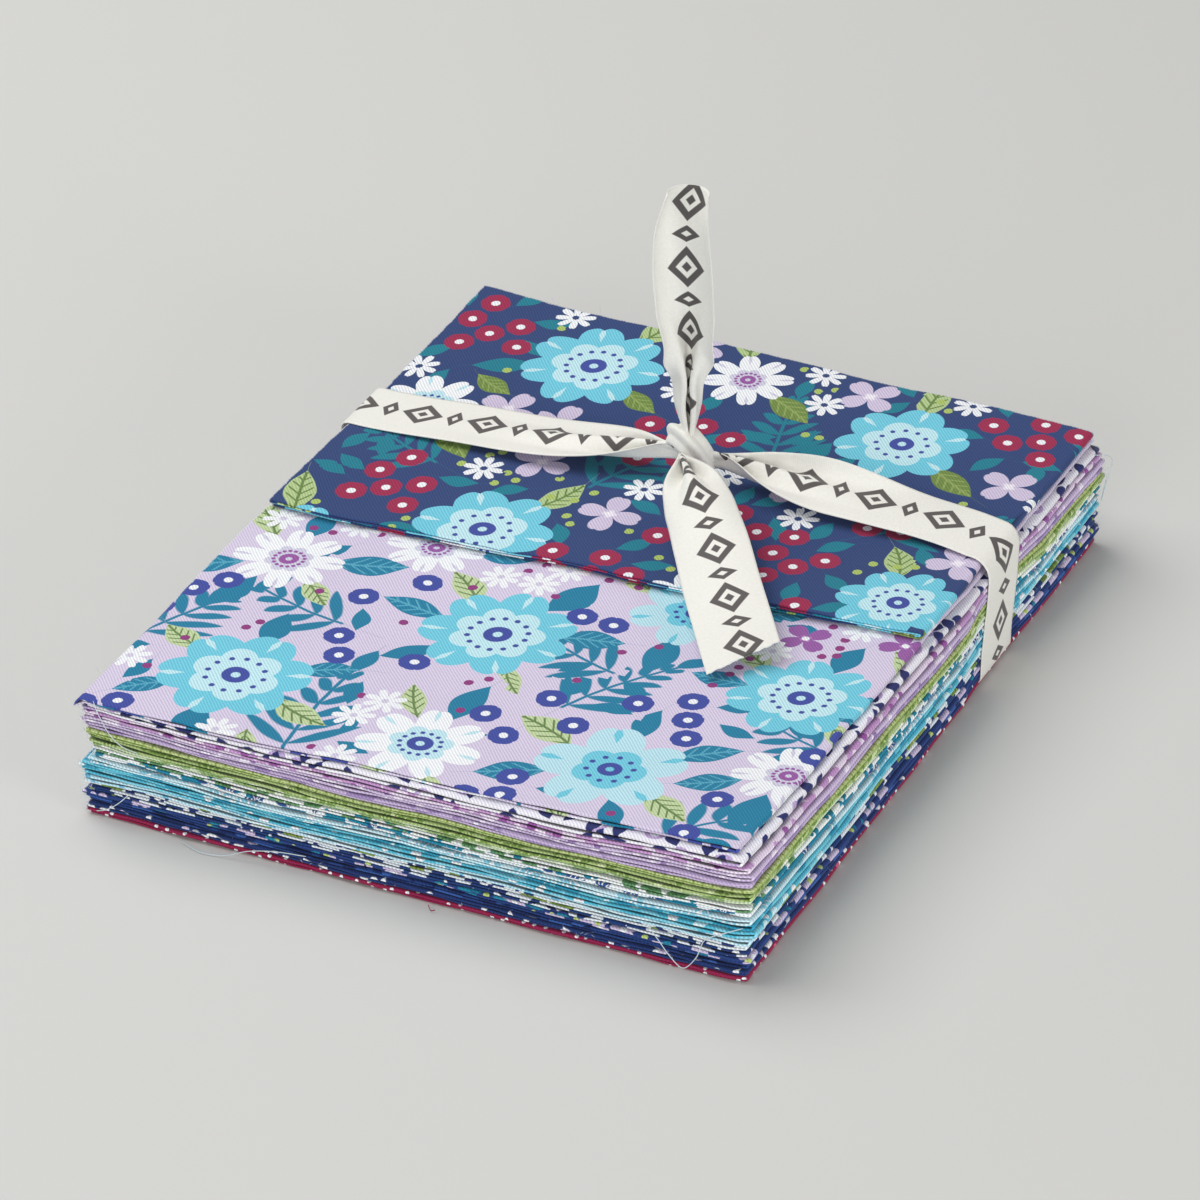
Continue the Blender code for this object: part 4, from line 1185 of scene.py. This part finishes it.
def tubes(name, paths, radius, material):
    # Four-sided tubes along paths of equally many points, thinner at both ends.
    ahead = np.gradient(paths, axis=1)
    ahead /= np.linalg.norm(ahead, axis=2, keepdims=True)
    side = np.cross(ahead, (0.31, 0.42, 0.85))
    side /= np.linalg.norm(side, axis=2, keepdims=True)
    lift = np.cross(ahead, side)
    count, stations = paths.shape[:2]
    wide = radius * np.where(np.isin(np.arange(stations), (0, stations - 1)), 0.4, 1.0)[None, :, None, None]
    turn = (np.arange(4) * np.pi / 2)[:, None]
    rings = side[:, :, None] * np.cos(turn) + lift[:, :, None] * np.sin(turn)
    points = (paths[:, :, None] + rings * wide).reshape(-1, 3)
    index = np.arange(len(points)).reshape(count, stations, 4)
    first, second = index[:, :-1], index[:, 1:]
    walls = np.stack([first, np.roll(first, -1, 2), np.roll(second, -1, 2), second], -1).reshape(-1, 4)
    corners = np.concatenate([walls, index[:, 0, ::-1], index[:, -1]])
    return quadMesh(name, points, corners, points[:, :2], [material], np.ones(len(points)))


def fibrePaths(edges):
    # Fibres stand out of the edges at random places, each on a line that bends one way.
    random = np.random.RandomState(21)
    paths = []
    for lines, outward in ((edges["left"], (-1.0, 0, 0)), (edges["back"], (0, 1.0, 0))):
        for line in lines:
            roots = line[random.randint(2, len(line) - 2, threads["fibres"])]
            lengths = random.uniform(0.3, 1.0, len(roots)) ** 2 * (threads["long"] - threads["short"])
            lengths += threads["short"]
            ways = np.array(outward) + random.uniform(-0.8, 0.8, (len(roots), 3))
            bends = random.uniform(-0.8, 0.8, (len(roots), 3))
            at = np.linspace(0, 1, 5)[None, :, None]
            away = ways[:, None] * at + bends[:, None] * at**2
            paths.append(roots[:, None] + lengths[:, None, None] * away)
    return np.concatenate(paths)


def buildThreads(edges):
    for ink, slot in (("pale", "quarter_12_white_sprigs"), ("crimson", "quarter_01_crimson_dots")):
        paths = []
        for path in threads[ink]:
            path = np.array(path, float)
            reach = runLength(path)
            paths.append(through(reach, path, np.linspace(0, reach[-1], 40)))
        material = plainMaterial("thread_" + ink, threads[ink + "Ink"])
        piece = tubes("threads_" + ink, np.array(paths), threads["radius"], material)
        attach(piece, "root")
    fibre = plainMaterial("fibre", threads["paleInk"])
    paths = np.maximum(np.concatenate([fibrePaths(edge) for edge in edges]), (-1000.0, -1000.0, 0.1))
    piece = tubes("fibres", paths, threads["fibre"], fibre)
    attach(piece, "root")
    print("threads:", len(paths))


# Floor and light
studio = dict(
    floor=(211, 211, 209), world=(240, 238, 235), worldStrength=0.34,
    lamps=(
        ("key", (-0.94, 0.12, 1.73), 1.8, 30.5),
        ("front", (0.3, -1.8, 0.6), 1.0, 11.5),
        ("right", (1.85, -0.5, 0.42), 0.8, 13.0),
    ),
)


def buildStudio():
    bpy.ops.mesh.primitive_plane_add(size=12.0, location=(0, 0, -0.0002))
    floor = bpy.context.active_object
    floor.name = "floor"
    floor.data.materials.append(plainMaterial("floor", studio["floor"]))
    world = bpy.data.worlds.new("studio")
    world.use_nodes = True
    background = world.node_tree.nodes["Background"]
    background.inputs["Color"].default_value = (*linear(studio["world"]), 1.0)
    background.inputs["Strength"].default_value = studio["worldStrength"]
    bpy.context.scene.world = world
    for name, place, size, power in studio["lamps"]:
        lamp = bpy.data.lights.new(name, "AREA")
        lamp.size = size
        lamp.energy = power
        thing = bpy.data.objects.new(name, lamp)
        bpy.context.scene.collection.objects.link(thing)
        aim = -np.array(place) / np.linalg.norm(place)
        side = np.cross(aim, (0, 0, 1.0))
        side /= np.linalg.norm(side)
        up = np.cross(side, aim)
        thing.matrix_world = Matrix([[side[i], up[i], -aim[i], place[i]] for i in range(3)] + [[0, 0, 0, 1]])
    bpy.context.scene.view_settings.view_transform = "Standard"


placeCamera()
clothPieces, rawEdges = buildQuarters()
buildRibbon(clothPieces[-1])
buildThreads(rawEdges)
buildStudio()
